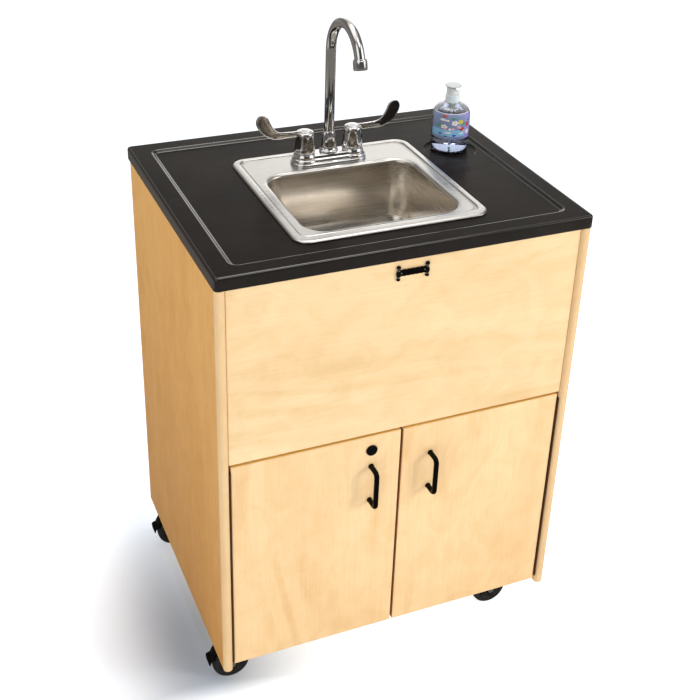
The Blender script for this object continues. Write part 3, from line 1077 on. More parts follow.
def strip(name, a0, a1, h0, h1, material, lift):
    """A rectangle wrapped on the bottle."""
    across, up = 48, 10
    verts = []
    for j in range(up + 1):
        for i in range(across + 1):
            verts.append(on_bottle(a0 + (a1 - a0) * i / across, h0 + (h1 - h0) * j / up, lift))
    w = across + 1
    faces = [(j * w + i, j * w + i + 1, (j + 1) * w + i + 1, (j + 1) * w + i) for j in range(up)
             for i in range(across)]
    return printed(name, verts, faces, material)


def blob(ink, a, h, ra, rh, lobes, dent, lift=0.00030):
    """A round or petalled print: a and ra in degrees, h and rh in metres."""
    points = []
    for k in range(28):
        t = 2 * math.pi * k / 28
        s = 1.0 - dent * (0.5 - 0.5 * math.cos(lobes * t))
        points.append((a + ra * s * math.cos(t), h + rh * s * math.sin(t)))
    return patch("print", points, INKS[ink], lift)


# ink, degrees round, height, half width in degrees, half height, petals, their depth, lift off the wall
PRINTED = (("red", -46, 0.0822, 9, 0.0026, 3, 0.2), ("green", -57, 0.0812, 4, 0.0020, 2, 0.4),
           ("white", -52, 0.0745, 13, 0.0032, 7, 0.35), ("white", -38, 0.0735, 8, 0.0026, 5, 0.35),
           ("green", -64, 0.0625, 7, 0.0050, 3, 0.35), ("white", -48, 0.0600, 12, 0.0054, 5, 0.35),
           ("pink", -45, 0.0556, 6, 0.0026, 4, 0.2, 0.00040),
           ("yellow", -48, 0.0604, 3, 0.0013, 0, 0.0, 0.00042), ("white", -15, 0.0686, 12, 0.0060, 5, 0.3),
           ("yellow", -15, 0.0688, 3, 0.0014, 0, 0.0, 0.00040), ("green", -19, 0.0778, 9, 0.0024, 3, 0.4),
           ("pink", -3, 0.0606, 7, 0.0034, 5, 0.25, 0.00036), ("yellow", 3, 0.0708, 9, 0.0050, 3, 0.15),
           ("green", 14, 0.0664, 8, 0.0032, 2, 0.4, 0.00036),
           ("red", 7, 0.0556, 9, 0.0046, 3, 0.12, 0.00036),
           ("white", 3, 0.0580, 3, 0.0013, 5, 0.3, 0.00042), ("pink", -20, 0.0562, 7, 0.0028, 4, 0.3),
           ("white", -30, 0.0555, 5, 0.0028, 5, 0.3), ("red", 29, 0.0640, 7, 0.0056, 3, 0.15, 0.00034),
           ("green", 35, 0.0720, 6, 0.0034, 2, 0.4, 0.00034),
           ("white", 30, 0.0480, 9, 0.0050, 5, 0.3, 0.00034),
           ("yellow", 30, 0.0480, 3, 0.0014, 0, 0.0, 0.00042), ("navy", -60, 0.0446, 5, 0.0026, 2, 0.3),
           ("navy", -43, 0.0402, 9, 0.0012, 5, 0.4), ("navy", -16, 0.0424, 7, 0.0024, 3, 0.3),
           ("white", -36, 0.0480, 14, 0.0022, 9, 0.4), ("white", 6, 0.0462, 9, 0.0020, 7, 0.4),
           ("navy", -8, 0.0366, 16, 0.0009, 7, 0.5))
label = [strip("film", -98, 44, 0.0341, 0.0866, FILM, 0.00010),
         strip("edge", -98, 44, 0.0863, 0.0871, INKS["white"], 0.00016),
         strip("field", 19, 43, 0.0345, 0.0860, INKS["violet"], 0.00018),
         strip("band", -96, 19, 0.0399, 0.0537, INKS["sky"], 0.00018)]
label += [blob(*row) for row in PRINTED]
place(merge("label", label, 80), "soap_bottle", "clear_pet")

# ---------------------------------------------------------------- casters

for tag, x, y, braked in (("fl", -CASTER_X, CASTER_FRONT, True), ("fr", CASTER_X, CASTER_FRONT, False),
                          ("rl", -CASTER_X, CASTER_REAR, True), ("rr", CASTER_X, CASTER_REAR, False)):
    crown = 0.0942 - 0.0066
    plate = [box("plate", (x - 0.030, y - 0.030, 0.0912), (x + 0.030, y + 0.030, 0.0942), ZINC, 0.0008, 2),
             lathe("race", soft([(0.0, 0.0880), (0.0200, 0.0880), (0.0216, 0.0898), (0.0222, 0.0914),
                                 (0.0, 0.0914)], 4, 2), ZINC, (x, y, 0), segments=48)]
    for dx in (-0.022, 0.022):
        for dy in (-0.022, 0.022):
            plate.append(lathe("bolt", soft([(0.0, 0.0885), (0.0048, 0.0887), (0.0052, 0.0912),
                                             (0.0, 0.0912)], 4, 1), ZINC,
                               (x + dx, y + dy, 0), segments=6, angle=20))
    place(merge(f"mount_plate_{tag}", plate), "cabinet", "zinc", f"caster_plate_{tag}")

    wx, wz = x - TRAIL, WHEEL_R
    inner_y, outer_y = WHEEL_W / 2 + 0.0015, WHEEL_W / 2 + 0.0040
    fork = [lathe("crown", soft([(0.0, crown - 0.0060), (0.0190, crown - 0.0060), (0.0225, crown - 0.0030),
                                 (0.0205, crown), (0.0, crown)], 4, 2), POWDER, (x, y, 0), segments=48),
            box("bridge", (x - 0.040, y - outer_y, crown - 0.0062),
                (x + 0.014, y + outer_y, crown - 0.0034), POWDER, 0.0007, 2)]
    leg = [(x + 0.0140, crown - 0.0040), (x + 0.0128, crown - 0.0120), (x + 0.0090, crown - 0.0230),
           (wx + 0.0095, wz - 0.0040), (wx + 0.0060, wz - 0.0078), (wx, wz - 0.0095),
           (wx - 0.0060, wz - 0.0078), (wx - 0.0110, wz - 0.0010), (x - 0.0590, wz + 0.0285),
           (x - 0.0625, wz + 0.0330), (x - 0.0610, wz + 0.0370), (x - 0.0410, wz + 0.0400),
           (x - 0.0400, crown - 0.0040)]
    for low, high in ((y - outer_y, y - inner_y), (y + inner_y, y + outer_y)):
        fork.append(prism("leg", leg, low, high, POWDER, bevel=0.0006, segments=2))
    place(merge(f"yoke_{tag}", fork), f"swivel_{tag}", "black_steel", f"caster_fork_{tag}")
    head = outer_y + 0.0003
    ends = []
    for sy, sides in ((1, 6), (-1, 32)):
        ends.append(lathe("end", soft([(0.0, sy * (head + 0.0034)), (0.0060, sy * (head + 0.0033)),
                                       (0.0069, sy * (head + 0.0024)), (0.0069, sy * head),
                                       (0.0, sy * head)], 5, 1), ZINC, (wx, y, wz), "Y", sides, angle=25))
    ends.append(sweep("shaft", [(wx, y - head, wz), (wx, y + head, wz)], AXLE_R - 0.0001, ZINC, 24))
    place(merge(f"axle_bolt_{tag}", ends), f"swivel_{tag}", "zinc", f"caster_axle_{tag}")

    half = WHEEL_W / 2
    tyre = [(0.0285, -half + 0.0020), (0.0290, -half), (0.0330, -half - 0.0002), (0.0352, -half + 0.0004),
            (0.0371, -half + 0.0028), (0.0380, -half + 0.0066), (WHEEL_R, -0.0012), (0.0377, -0.0006)]
    tyre = soft(tyre + [(r, -h) for r, h in reversed(tyre)], 4, 1)
    web = [(AXLE_R + 0.0001, -half - 0.0010), (0.0092, -half - 0.0010), (0.0100, -half + 0.0010),
           (0.0112, -half + 0.0040), (0.0240, -half + 0.0042), (0.0262, -half + 0.0010),
           (0.0286, -half + 0.0008)]
    wheel = [lathe("tyre", tyre, RUBBER, (wx, y, wz), "Y", 96, loop=True, angle=50),
             lathe("web", web + [(r, -h) for r, h in reversed(web)], HUB, (wx, y, wz), "Y", 96, loop=True,
                   angle=40)]
    for k in range(5):
        t = 2 * math.pi * k / 5
        for sy in (-1, 1):
            a, b = 0.0105, 0.0255
            dx, dz = math.cos(t), math.sin(t)
            rib = [(wx + a * dx - 0.0012 * dz, wz + a * dz + 0.0012 * dx),
                   (wx + b * dx - 0.0009 * dz, wz + b * dz + 0.0009 * dx),
                   (wx + b * dx + 0.0009 * dz, wz + b * dz - 0.0009 * dx),
                   (wx + a * dx + 0.0012 * dz, wz + a * dz - 0.0012 * dx)]
            low, high = sorted((y + sy * (half - 0.0048), y + sy * (half - 0.0006)))
            wheel.append(prism("rib", rib, low, high, HUB))
    place(merge(f"roller_{tag}", wheel, 50), f"wheel_{tag}", "black_rubber", f"caster_wheel_{tag}")

    if braked:
        px, pz = x - 0.0580, wz + 0.0325
        lever = [(px + gx, pz + gz) for gx, gz in (
            (-0.0010, 0.0032), (-0.0045, 0.0026), (-0.0075, -0.0010), (-0.0098, -0.0060), (-0.0116, -0.0100),
            (-0.0165, -0.0112), (-0.0192, -0.0135), (-0.0200, -0.0170), (-0.0196, -0.0215),
            (-0.0186, -0.0252), (-0.0165, -0.0245), (-0.0163, -0.0200), (-0.0150, -0.0168),
            (-0.0122, -0.0152), (-0.0085, -0.0120), (-0.0058, -0.0060), (-0.0030, -0.0020))]
        parts = [prism("lever", lever, y - inner_y + GAP, y + inner_y - GAP, POWDER, bevel=0.0008,
                       segments=2),
                 sweep("barrel", [(px, y - inner_y + GAP, pz), (px, y + inner_y - GAP, pz)], 0.0036, POWDER,
                       24),
                 sweep("pin", [(px, y - outer_y - 0.001, pz), (px, y + outer_y + 0.001, pz)], 0.0020,
                       POWDER, 20)]
        for k in range(4):  # grip ribs across the pad
            gx, gz = px - 0.0197 + 0.0002 * k, pz - 0.0142 - 0.0030 * k
            parts.append(sweep("rib", [(gx, y - inner_y + 0.0016, gz), (gx, y + inner_y - 0.0016, gz)],
                               0.0007, POWDER, 10))
        place(merge(f"pedal_{tag}", parts), f"brake_{tag}", "black_steel", f"brake_pedal_{tag}")

# ---------------------------------------------------------------- inside the cabinet


def tank(name, size, neck, material, node, slot):
    """Carrying tank: two pressed bands round it, a shoulder, a threaded neck and a moulded grip."""
    cx, cy, width, depth, height = size
    rows = [(0.0, -0.0100), (0.0012, -0.0050), (0.0040, -0.0018), (0.0100, 0.0)]
    for band in (0.30, 0.62):
        mid = height * band
        for k in range(13):
            t = k / 12
            rows.append((mid - 0.022 + 0.044 * t, -0.0032 * (0.5 - 0.5 * math.cos(2 * math.pi * t))))
    rows += [(height - 0.0200, 0.0), (height - 0.0110, -0.0012), (height - 0.0045, -0.0050),
             (height - 0.0010, -0.0105), (height, -0.0170)]
    parts = [loft("shell", [lifted(rounded(cx, cy, width, depth, 0.030, 10, g), TANK_Z + h)
                            for h, g in rows], material, angle=50)]
    x, y, z = neck
    thread = [(0.0, z - 0.006), (0.0270, z - 0.006)]
    for k in range(4):
        thread += [(0.0262, z - 0.001 + 0.0034 * k), (0.0270, z + 0.0006 + 0.0034 * k)]
    parts.append(lathe("mouth", thread + [(0.0262, z + 0.0120), (0.0, z + 0.0120)], material, (x, y, 0),
                       segments=56))
    parts.append(lathe("flange", soft([(0.0, z - 0.001), (0.0330, z - 0.001), (0.0325, z + 0.0012),
                                       (0.0, z + 0.0014)], 4, 2), material, (x, y, 0), segments=56))
    grip_y = cy - 0.055
    grip = bent([(cx - 0.065, grip_y, z - 0.006), (cx - 0.055, grip_y, z + 0.038),
                 (cx + 0.055, grip_y, z + 0.038), (cx + 0.065, grip_y, z - 0.006)], 0.014, 10)
    parts.append(sweep("grip", grip, 0.0090, material, 28))
    for sx in (-1, 1):
        parts.append(lathe("root", soft([(0.0, z - 0.002), (0.0175, z - 0.002), (0.0120, z + 0.0040),
                                         (0.0088, z + 0.0110), (0.0, z + 0.0110)], 4, 2),
                           material, (cx + sx * 0.0625, grip_y, 0),
                           segments=40))
    for k in range(1, 6):  # moulded level marks on the front
        h = TANK_Z + height * (0.12 + 0.14 * k)
        if not any(abs(h - TANK_Z - height * b) < 0.024 for b in (0.30, 0.62)):
            half = 0.016 if k % 2 else 0.010
            parts.append(sweep("mark", [(cx + width * 0.30 - half, cy - depth / 2, h),
                                        (cx + width * 0.30 + half, cy - depth / 2, h)], 0.0009, material, 10))
    place(merge(name, parts, 50), "cabinet", slot, node)


tank("fresh_vessel", FRESH, FRESH_NECK, TANK_WHITE, "fresh_tank", "tank_natural")
tank("waste_vessel", WASTE, WASTE_NECK, TANK_GREY, "waste_tank", "tank_grey")

for name, (x, y, z), material, node, slot, bore in (
        ("fresh_lid", FRESH_NECK, WHITE_CLIP, "fresh_cap", "white_cap", 0.0080),
        ("waste_lid", WASTE_NECK, BLACK_PLASTIC, "waste_cap", "black_abs", 0.0122)):
    rows = []
    for r, h, rib in ((0.0283, 0.0123, 0), (0.0283, 0.0020, 0), (0.0312, 0.0020, 1), (0.0318, 0.0026, 1),
                      (0.0316, 0.0120, 1), (0.0308, 0.0148, 1), (0.0288, 0.0166, 0), (0.0150, 0.0170, 0),
                      (0.0136, 0.0178, 0), (0.0128, 0.0200, 0), (0.0125, 0.0236, 0), (0.0117, 0.0240, 0),
                      (0.0125, 0.0262, 0), (0.0125, 0.0280, 0), (0.0117, 0.0284, 0), (0.0125, 0.0306, 0),
                      (0.0122, 0.0340, 0), (bore - 0.002, 0.0340, 0), (bore - 0.002, 0.0123, 0)):
        ring = []
        for k in range(160):
            t = 2 * math.pi * k / 160
            rr = r + (0.0007 * (0.5 + 0.5 * math.cos(40 * t)) if rib else 0.0)
            ring.append((x + rr * math.cos(t), y + rr * math.sin(t), z + h))
        rows.append(ring)
    place(loft(name, rows, material, loop=True, angle=50), "cabinet", slot, node)

# pump: motor can, mounting plate, head with its cover screws, pressure switch and two ports
px, py = PUMP
low, axis_z = TANK_Z, TANK_Z + 0.048
parts = [box("base", (px - 0.070, py - 0.045, low + 0.0025), (px + 0.070, py + 0.045, low + 0.0065),
             BLACK_PLASTIC, 0.0012)]
for dx in (-0.060, 0.060):
    for dy in (-0.036, 0.036):
        parts.append(lathe("pad", soft([(0.0, low), (0.0085, low), (0.0080, low + 0.0028),
                                        (0.0070, low + 0.0085), (0.0, low + 0.0085)], 4, 1),
                           RUBBER, (px + dx, py + dy, 0),
                           segments=36))
        parts.append(screw((px + dx, py + dy, low + 0.0085), "Z", ZINC, 0.0034, 0.0012))
parts.append(box("cradle", (px - 0.056, py - 0.024, low + 0.004), (px + 0.050, py + 0.024, low + 0.028),
                 BLACK_PLASTIC, 0.002))
can = [(0.0, -0.0625), (0.0120, -0.0625), (0.0135, -0.0600), (0.0240, -0.0598), (0.0285, -0.0580),
       (0.0300, -0.0540), (0.0300, -0.0440), (0.0291, -0.0430), (0.0291, -0.0400), (0.0300, -0.0390),
       (0.0300, 0.0180), (0.0308, 0.0190), (0.0308, 0.0300), (0.0, 0.0300)]
parts.append(lathe("motor", soft(can, 5, 1), POWDER, (px, py, axis_z), "X", 64))
parts.append(box("head", (px + 0.024, py - 0.034, low + 0.014), (px + 0.052, py + 0.034, low + 0.082),
                 BLACK_PLASTIC, 0.005, 5))
parts.append(box("cover", (px + 0.0524, py - 0.032, low + 0.016), (px + 0.0620, py + 0.032, low + 0.080),
                 BLACK_PLASTIC, 0.004, 4))
for dy in (-0.025, 0.025):
    for dz in (0.023, 0.073):
        parts.append(screw((px + 0.0620, py + dy, low + dz), "X", ZINC, 0.0032, 0.0011))
parts.append(lathe("switch", soft([(0.0, 0.0620), (0.0110, 0.0620), (0.0110, 0.0660), (0.0095, 0.0672),
                                   (0.0, 0.0674)], 5, 1), RED_PLASTIC, (px, py, axis_z), "X", 40))
barb = [(0.0, 0.0), (0.0110, 0.0), (0.0110, 0.0100), (0.0086, 0.0110), (0.0080, 0.0160), (0.0086, 0.0190),
        (0.0076, 0.0192), (0.0086, 0.0225), (0.0076, 0.0227), (0.0080, 0.0260), (0.0074, 0.0350),
        (0.0, 0.0350)]
parts.append(lathe("outlet", [(r, low + 0.070 + h) for r, h in barb], BLACK_PLASTIC, (px + 0.043, py, 0),
                   segments=36))
parts.append(lathe("suction", [(r, h * 0.024 / 0.035) for r, h in barb], BLACK_PLASTIC,
                   (px + 0.043, py - 0.034, low + 0.040), "Y", 36))
place(merge("pump_unit", parts, 45), "cabinet", "black_abs", "water_pump")

# heater: moulded jacket with a front cover, dial, lamp and two unions underneath
(x0, y0, z0), (x1, y1, z1) = HEATER
stub_y, stubs = (y0 + y1) / 2, (x0 + 0.060, x1 - 0.060)
parts = [box("jacket", (x0, y0 + 0.004, z0), (x1, y1, z1), ENAMEL, 0.018, 8),
         box("cover", (x0 + 0.010, y0, z0 + 0.010), (x1 - 0.010, y0 + 0.012, z1 - 0.010), ENAMEL, 0.0048, 5)]
mid_x = (x0 + x1) / 2
parts.append(lathe("dial", soft([(0.0, 0.0), (0.0200, 0.0), (0.0200, 0.0006), (0.0168, 0.0010),
                                 (0.0160, 0.0090), (0.0146, 0.0106), (0.0, 0.0108)], 5, 1),
                   BLACK_PLASTIC, (mid_x, y0 + 0.0002, z0 + 0.050), "Y", 56))
parts.append(box("pointer", (mid_x - 0.0008, y0 - 0.0112, z0 + 0.052),
                 (mid_x + 0.0008, y0 - 0.0100, z0 + 0.064), WHITE_CLIP))
parts.append(lathe("lamp", soft([(0.0, 0.0), (0.0042, 0.0), (0.0040, 0.0014), (0.0, 0.0022)], 4, 2),
                   RED_PLASTIC, (mid_x + 0.045, y0 + 0.0001, z0 + 0.050), "Y", 32))
for k in range(11):
    t = math.radians(-130 + 26 * k)
    cxk, czk = mid_x + 0.0235 * math.sin(t), z0 + 0.050 + 0.0235 * math.cos(t)
    parts.append(lathe("dot", [(0.0, 0.0), (0.0009, 0.0), (0.0009, 0.0003), (0.0, 0.0003)], BLACK_PLASTIC,
                       (cxk, y0 + 0.0001, czk), "Y", 14))
for sx in stubs:
    parts.append(lathe("pipe", [(0.0, z0 + 0.02), (0.0090, z0 + 0.02), (0.0090, z0 - 0.0235),
                                (0.0084, z0 - 0.0250), (0.0, z0 - 0.0250)],
                       BRASS, (sx, stub_y, 0), segments=40))
    parts.append(lathe("union", soft([(0.0, z0 - 0.0040), (0.0130, z0 - 0.0040), (0.0130, z0 - 0.0150),
                                      (0.0, z0 - 0.0150)], 6, 1),
                       BRASS, (sx, stub_y, 0), segments=6, angle=20))
for dx in (-1, 1):
    for zz in (z0 + 0.024, z1 - 0.024):
        parts.append(screw((mid_x + dx * 0.096, y0, zz), "Y", ZINC, 0.0032, 0.0011))
place(merge("heater_unit", parts, 45), "cabinet", "white_shell", "water_heater")


def clamp(centre, direction, radius):
    """Worm-drive band round a hose: the band, its screw housing and the screw's head."""
    centre, direction = Vector(centre), Vector(direction).normalized()
    tilt = Vector((0, 0, 1)).rotation_difference(direction).to_matrix().to_4x4()
    band = lathe("band", [(radius + 0.0001, -0.0045), (radius + 0.0009, -0.0045), (radius + 0.0011, -0.0040),
                          (radius + 0.0011, 0.0040), (radius + 0.0009, 0.0045), (radius + 0.0001, 0.0045)],
                 ZINC, centre, segments=40, loop=True, tilt=tilt)
    side = direction.orthogonal().normalized()
    across = direction.cross(side)
    house = centre + side * (radius + 0.0030)
    worm = sweep("worm", [house - across * 0.0055, house + across * 0.0055], 0.0030, ZINC, 16)
    turn = sweep("turn", [house + across * 0.0055, house + across * 0.0085], 0.0034, ZINC, 6)
    return [band, worm, turn]


low = TANK_Z
hot_path = hose_path((stubs[0], stub_y, z0 - 0.0255), (0, 0, -1), [
    (stubs[0] - 0.012, stub_y, z0 - 0.062), (x0 - 0.020, stub_y, z0 - 0.068),
    (x0 - 0.045, stub_y, z0 + 0.020), (x0 - 0.040, stub_y, z1 + 0.010),
    (-0.120, 0.150, 0.800), (-0.056, 0.112, 0.860)],
    (-TAP_X, TAP_Y, 0.9045), (0, 0, -1))
tee_z = 0.360
cold_path = hose_path((px + 0.043, py, low + 0.1055), (0, 0, 1), [
    (px + 0.040, py, low + 0.160), (px + 0.020, py + 0.010, tee_z - 0.040),
    (px + 0.020, py + 0.010, tee_z + 0.050), (0.170, 0.195, 0.640),
    (0.130, 0.160, 0.800), (0.056, 0.112, 0.860)], (TAP_X, TAP_Y, 0.9045), (0, 0, -1))
branch_path = hose_path((px + 0.020, py + 0.010, tee_z), (-1, 0, 0), [
    (px - 0.040, py + 0.006, tee_z), (stubs[1] + 0.020, stub_y, tee_z + 0.010),
    (stubs[1], stub_y, z0 - 0.060)], (stubs[1], stub_y, z0 - 0.0255), (0, 0, -1))
fx, fy, fz = FRESH_NECK
feed_path = hose_path((fx, fy, fz + 0.0345), (0, 0, 1), [
    (fx + 0.012, fy + 0.010, fz + 0.072), (fx + 0.050, fy + 0.050, fz + 0.080), (-0.075, 0.095, 0.390),
    (-0.020, 0.105, 0.240), (0.060, 0.105, low + 0.060), (px - 0.010, py - 0.095, low + 0.040),
    (px + 0.030, py - 0.090, low + 0.040)], (px + 0.043, py - 0.0585, low + 0.040), (0, -1, 0))


def hose(name, paths, radius, node, extra=()):
    parts = [sweep("run", path, radius, HOSE, 24) for path in paths]
    for path in paths:
        for a, b in ((path[0], path[1]), (path[-1], path[-2])):
            along = (b - a).normalized()
            parts += clamp(a + along * 0.0055, along, radius)
    place(merge(name, parts + list(extra), 50), "cabinet", "hose_clear", node)


hose("hot_line", [hot_path], 0.0075, "supply_hose_hot")
tee = [sweep("tee", [(px + 0.020, py + 0.010, tee_z - 0.016), (px + 0.020, py + 0.010, tee_z + 0.016)],
             0.0092, BRASS, 24),
       sweep("tee", [(px + 0.022, py + 0.010, tee_z), (px + 0.002, py + 0.010, tee_z)], 0.0088, BRASS, 24)]
hose("cold_line", [cold_path, branch_path], 0.0075, "supply_hose_cold", tee)
hose("feed_line", [feed_path], 0.0080, "feed_hose")

end = Vector(WASTE_NECK) + Vector((0, 0, 0.0345))
drain_path = hose_path((bx, by, seat - 0.0905), (0, 0, -1), [
    (bx + 0.004, by, seat - 0.1450), ((bx + end.x) / 2, (by + end.y) / 2, (seat + end.z - 0.09) / 2),
    (end.x - 0.004, end.y, end.z + 0.0450)], end, (0, 0, 1))
fine, step = [], 0.0011
for a, b in zip(drain_path, drain_path[1:]):
    n = max(1, round((b - a).length / step))
    fine += [a.lerp(b, k / n) for k in range(n)]
fine.append(drain_path[-1])
radii, gone = [], 0.0
for a, b in zip(fine, fine[1:] + [fine[-1]]):
    ends = min(gone, 0.022) < 0.020 or len(radii) > len(fine) - 20
    radii.append(0.0172 if ends else 0.0164 + 0.0010 * math.cos(2 * math.pi * gone / 0.0062))
    gone += (b - a).length
place(sweep("drain_line", fine, radii, RIBBED, 28), "cabinet", "hose_white", "drain_hose")

# power inlet on the back: flange, shrouded opening, three blades and two screws
y = SIDE_BACK + GAP
inlet = box("inlet", (0.190, y, 0.165), (0.250, y + 0.004, 0.235), BLACK_PLASTIC, 0.0016, 4)
barrel = sweep("barrel", [(0.22, y + 0.002, 0.20), (0.22, SIDE_BACK - 0.012 - 0.020, 0.20)], 0.0205,
               BLACK_PLASTIC, 48)
inlet = merge("inlet", [inlet, barrel])
cut(inlet, box("tool", (0.207, y - 0.020, 0.192), (0.233, y + 0.020, 0.208), BLACK_PLASTIC, 0.0015, 2))
pins = [box("blade", (0.22 + dx - 0.0010, y - 0.022, pz - 0.0025),
            (0.22 + dx + 0.0010, y - 0.0025, pz + 0.0025), BRASS, 0.0005, 2)
        for dx, pz in ((-0.007, 0.200), (0.0, 0.2025), (0.007, 0.200))]
pins += [screw((0.22, y + 0.004, zz), "Y", ZINC, 0.0032, 0.0011, side=-1) for zz in (0.172, 0.228)]
place(merge("inlet_socket", [inlet] + pins), "cabinet", "black_abs", "power_inlet")

# ---------------------------------------------------------------- studio

KEY, TOP, FILL, AMBIENT, WHITE_LEVEL, FLOOR_DIM = 46.0, 50.0, 16.5, 0.52, 1.05, 0.21
FLOOR_HALF = 16
SHEET_PALE, SHEET_PALER, SHEET_SHADE = (0.80, 0.87, 0.975), (0.815, 0.885, 0.985), (0.43, 0.50, 0.61)
SHADOW_SPOT, BROWN_SPOT = (-0.41, -0.06, 0.0), (-1.15, 1.70, 0.0)
DIM_FLOOR, BROWN_FLOOR = (1.0, 0.93, 0.85, 1.0), (1.0, 0.42, 0.14, 1.0)
# patches of the floor that the reflections show lit: middle, radius, level
FLOOR_PATCHES = (((1.45, -1.20), 0.60, 0.9), ((-2.4, 0.6), 1.2, 0.35))
# the room in the reflections: brightness against the sine of the height above the horizon
ROOM = ((0.0, 0.30), (0.20, 0.20), (0.42, 0.16), (0.62, 0.18), (0.80, 0.60), (1.0, 1.10))
# softboxes in the reflections: direction, inner and outer cosine, level
LOBES = (((0.35, 0.80, 0.46), 0.975, 0.86, 0.55), ((0.45, 0.88, 0.06), 0.985, 0.90, 1.2),
         ((0.29, 0.39, 0.875), 0.995, 0.984, 6.0), ((0.25, -0.42, 0.87), 0.985, 0.96, 2.0),
         ((-0.2, 0.1, 0.97), 0.95, 0.80, 0.6), ((0.8, -0.5, 0.35), 0.96, 0.90, 1.6),
         ((-0.70, -0.56, 0.46), 0.97, 0.90, 1.1))


def studio_node(tree, kind, *inputs, **settings):
    node = tree.nodes.new(kind)
    for key, value in settings.items():
        setattr(node, key, value)
    for i, value in enumerate(inputs):
        if isinstance(value, (int, float, tuple)):
            node.inputs[i].default_value = value
        else:
            tree.links.new(value, node.inputs[i])
    return node


def lobe(tree, vector, towards, inner, outer, level):
    """A soft-edged patch of light around a direction; inner and outer are its cosines."""
    spot = studio_node(tree, "ShaderNodeVectorMath", vector, tuple(Vector(towards).normalized()),
                       operation="DOT_PRODUCT")
    return studio_node(tree, "ShaderNodeMapRange", spot.outputs["Value"], outer, inner, 0.0, level,
                       interpolation_type="SMOOTHSTEP").outputs[0]


# the floor is white to the camera and to diffuse light, and a dim room's floor in the reflections
floor_mesh = bpy.data.meshes.new("floor")
corners = [(x * FLOOR_HALF, y * FLOOR_HALF, 0) for x, y in ((-1, -1), (1, -1), (1, 1), (-1, 1))]
floor_mesh.from_pydata(corners, [], [(0, 1, 2, 3)])
ground = Finish("pale_floor", rough=0.9, spec=0.1)
gt = ground.tree
sheet = ground.mix(ground.between(ground.noise(ground.at, 2.0, 2.0), 0.3, 0.7), SHEET_PALE, SHEET_PALER)
# deeper shade where the sheet meets the shadow side
floor_x, floor_y, _ = studio_node(gt, "ShaderNodeSeparateXYZ", ground.at).outputs
shade = ground.math("MULTIPLY", ground.between(floor_x, -0.53, -0.36), ground.between(floor_y, -0.33, -0.22))
ground.set(colour=ground.mix(shade, sheet, SHEET_SHADE))
# the sheet brightens away from the shadow at the left, so that it runs into the white behind and in front
squeezed = studio_node(gt, "ShaderNodeVectorMath", ground.at, (1.0, 0.55, 1.0),
                       operation="MULTIPLY").outputs[0]
away = studio_node(gt, "ShaderNodeVectorMath", squeezed, SHADOW_SPOT, operation="DISTANCE").outputs["Value"]
in_front = ground.between(floor_y, -0.20, -0.32, 0.0, 1.0)
ground.shader.inputs["Emission Color"].default_value = (1.0, 1.0, 1.0, 1.0)
gt.links.new(ground.math("MAXIMUM", in_front, ground.between(away, 0.0, 0.36, 0.0, 0.80)),
             ground.shader.inputs["Emission Strength"])
dim = 0.0
for spot, radius, level in FLOOR_PATCHES:
    apart = studio_node(gt, "ShaderNodeVectorMath", ground.at, (spot[0], spot[1], 0.0), operation="DISTANCE")
    patch_light = studio_node(gt, "ShaderNodeMapRange", apart.outputs["Value"], radius, radius * 0.45, 0.0,
                              level, interpolation_type="SMOOTHSTEP")
    dim = ground.math("ADD", dim, patch_light.outputs[0])
dim = ground.math("ADD", dim, FLOOR_DIM)
seen = studio_node(gt, "ShaderNodeEmission", DIM_FLOOR, dim)
# what the counter's left skirt mirrors is a brown floor further back
back_patch = studio_node(gt, "ShaderNodeVectorMath", ground.at, BROWN_SPOT, operation="DISTANCE")
brown = studio_node(gt, "ShaderNodeEmission", BROWN_FLOOR, ground.between(back_patch.outputs["Value"], 0.45,
                                                                          0.95, 0.05, 0.0))
seen = studio_node(gt, "ShaderNodeAddShader", seen.outputs[0], brown.outputs[0])
kind = studio_node(gt, "ShaderNodeLightPath")
both = studio_node(gt, "ShaderNodeMixShader", kind.outputs["Is Glossy Ray"],
                   gt.nodes["Principled BSDF"].outputs[0], seen.outputs[0])
gt.links.new(both.outputs[0], gt.nodes["Material Output"].inputs[0])
floor_mesh.materials.append(ground.material)
floor = bpy.data.objects.new("floor", floor_mesh)
bpy.context.scene.collection.objects.link(floor)

world = bpy.data.worlds.new("studio")
bpy.context.scene.world = world
world.use_nodes = True
tree = world.node_tree
tree.nodes.clear()
output = studio_node(tree, "ShaderNodeOutputWorld")
around = studio_node(tree, "ShaderNodeTexCoord").outputs["Generated"]
height = studio_node(tree, "ShaderNodeSeparateXYZ", around).outputs["Z"]
ramp = studio_node(tree, "ShaderNodeValToRGB", height)
ramp.color_ramp.interpolation = "EASE"
while len(ramp.color_ramp.elements) < len(ROOM):
    ramp.color_ramp.elements.new(0.5)
for element, (spot, level) in zip(ramp.color_ramp.elements, ROOM):
    element.position, element.color = spot, (level, level * 0.95, level * 0.88, 1.0)
lights = 0.0
for towards, inner, outer, level in LOBES:
    lights = studio_node(tree, "ShaderNodeMath", lights, lobe(tree, around, towards, inner, outer,
                                                              level)).outputs[0]
behind = studio_node(tree, "ShaderNodeSeparateXYZ", around).outputs["Y"]
side_of_camera = studio_node(tree, "ShaderNodeMapRange", behind, -0.35, 0.15, 0.40, 1.0,
                             interpolation_type="SMOOTHSTEP")
room = studio_node(tree, "ShaderNodeBackground", ramp.outputs[0], side_of_camera.outputs[0])
glow = studio_node(tree, "ShaderNodeBackground", (1.0, 0.985, 0.955, 1.0), lights)
mirror = studio_node(tree, "ShaderNodeAddShader", room.outputs[0], glow.outputs[0])
ambient = studio_node(tree, "ShaderNodeBackground", (1.0, 0.99, 0.97, 1.0), AMBIENT)
white = studio_node(tree, "ShaderNodeBackground", (1.0, 1.0, 1.0, 1.0), WHITE_LEVEL)
path_kind = studio_node(tree, "ShaderNodeLightPath")
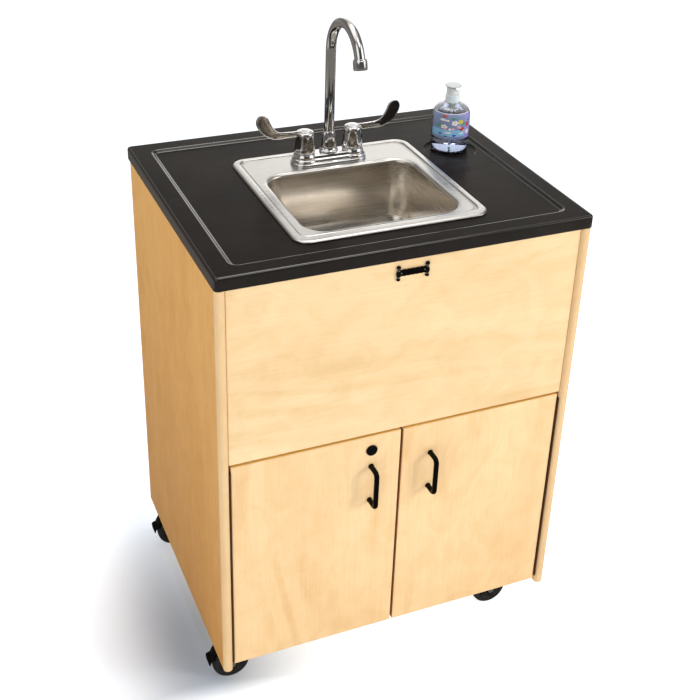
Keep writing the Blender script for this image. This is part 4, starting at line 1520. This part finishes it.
soft_or_mirror = studio_node(tree, "ShaderNodeMixShader", path_kind.outputs["Is Glossy Ray"],
                             ambient.outputs[0], mirror.outputs[0])
seen_straight = studio_node(tree, "ShaderNodeMath", path_kind.outputs["Is Camera Ray"],
                            path_kind.outputs["Is Transmission Ray"], operation="MAXIMUM").outputs[0]
blend = studio_node(tree, "ShaderNodeMixShader", seen_straight, soft_or_mirror.outputs[0], white.outputs[0])
tree.links.new(blend.outputs[0], output.inputs[0])


def softbox(name, spot, target, width, height, power, colour):
    """A large lamp that the mirrors don't show: LOBES stand for it there."""
    data = bpy.data.lights.new(name, "AREA")
    data.shape, data.size, data.size_y, data.energy, data.color = "RECTANGLE", width, height, power, colour
    lamp = bpy.data.objects.new(name, data)
    lamp.location = spot
    lamp.rotation_euler = (Vector(target) - Vector(spot)).to_track_quat("-Z", "Y").to_euler()
    lamp.visible_glossy = False
    bpy.context.scene.collection.objects.link(lamp)


softbox("key", (2.3, -2.4, 1.55), (0.0, -0.1, 0.5), 0.9, 0.9, KEY, (1.0, 0.985, 0.955))
softbox("top", (0.2, 0.3, 3.0), (0.0, 0.0, 0.9), 1.7, 1.3, TOP, (1.0, 1.0, 1.0))
softbox("fill", (-2.2, -2.3, 1.6), (-0.1, 0.0, 0.5), 1.6, 1.6, FILL, (1.0, 0.97, 0.93))

# ---------------------------------------------------------------- camera

CAMERA_SPOT = Vector((-0.8417, -1.9209, 1.8922)) + SHIFT
FOCAL, SENSOR, LENS_SHIFT = 61.09, 36.0, (0.0161, -0.1172)
YAW, PITCH, ROLL = (math.radians(v) for v in (23.263, 28.144, 1.708))
ahead = Vector((math.sin(YAW) * math.cos(PITCH), math.cos(YAW) * math.cos(PITCH), -math.sin(PITCH)))
level = Vector((math.cos(YAW), -math.sin(YAW), 0.0))
upright = level.cross(ahead)
right = math.cos(ROLL) * level + math.sin(ROLL) * upright
up = -math.sin(ROLL) * level + math.cos(ROLL) * upright
lens = bpy.data.cameras.new("camera")
lens.sensor_width, lens.lens = SENSOR, FOCAL
lens.shift_x, lens.shift_y = LENS_SHIFT
lens.clip_start, lens.clip_end = 0.05, 60.0
camera = bpy.data.objects.new("camera", lens)
camera.matrix_world = Matrix.Translation(CAMERA_SPOT) @ Matrix(
    ((right.x, up.x, -ahead.x), (right.y, up.y, -ahead.y), (right.z, up.z, -ahead.z))).to_4x4()
bpy.context.scene.collection.objects.link(camera)
bpy.context.scene.camera = camera
bpy.context.scene.view_settings.view_transform = "Standard"
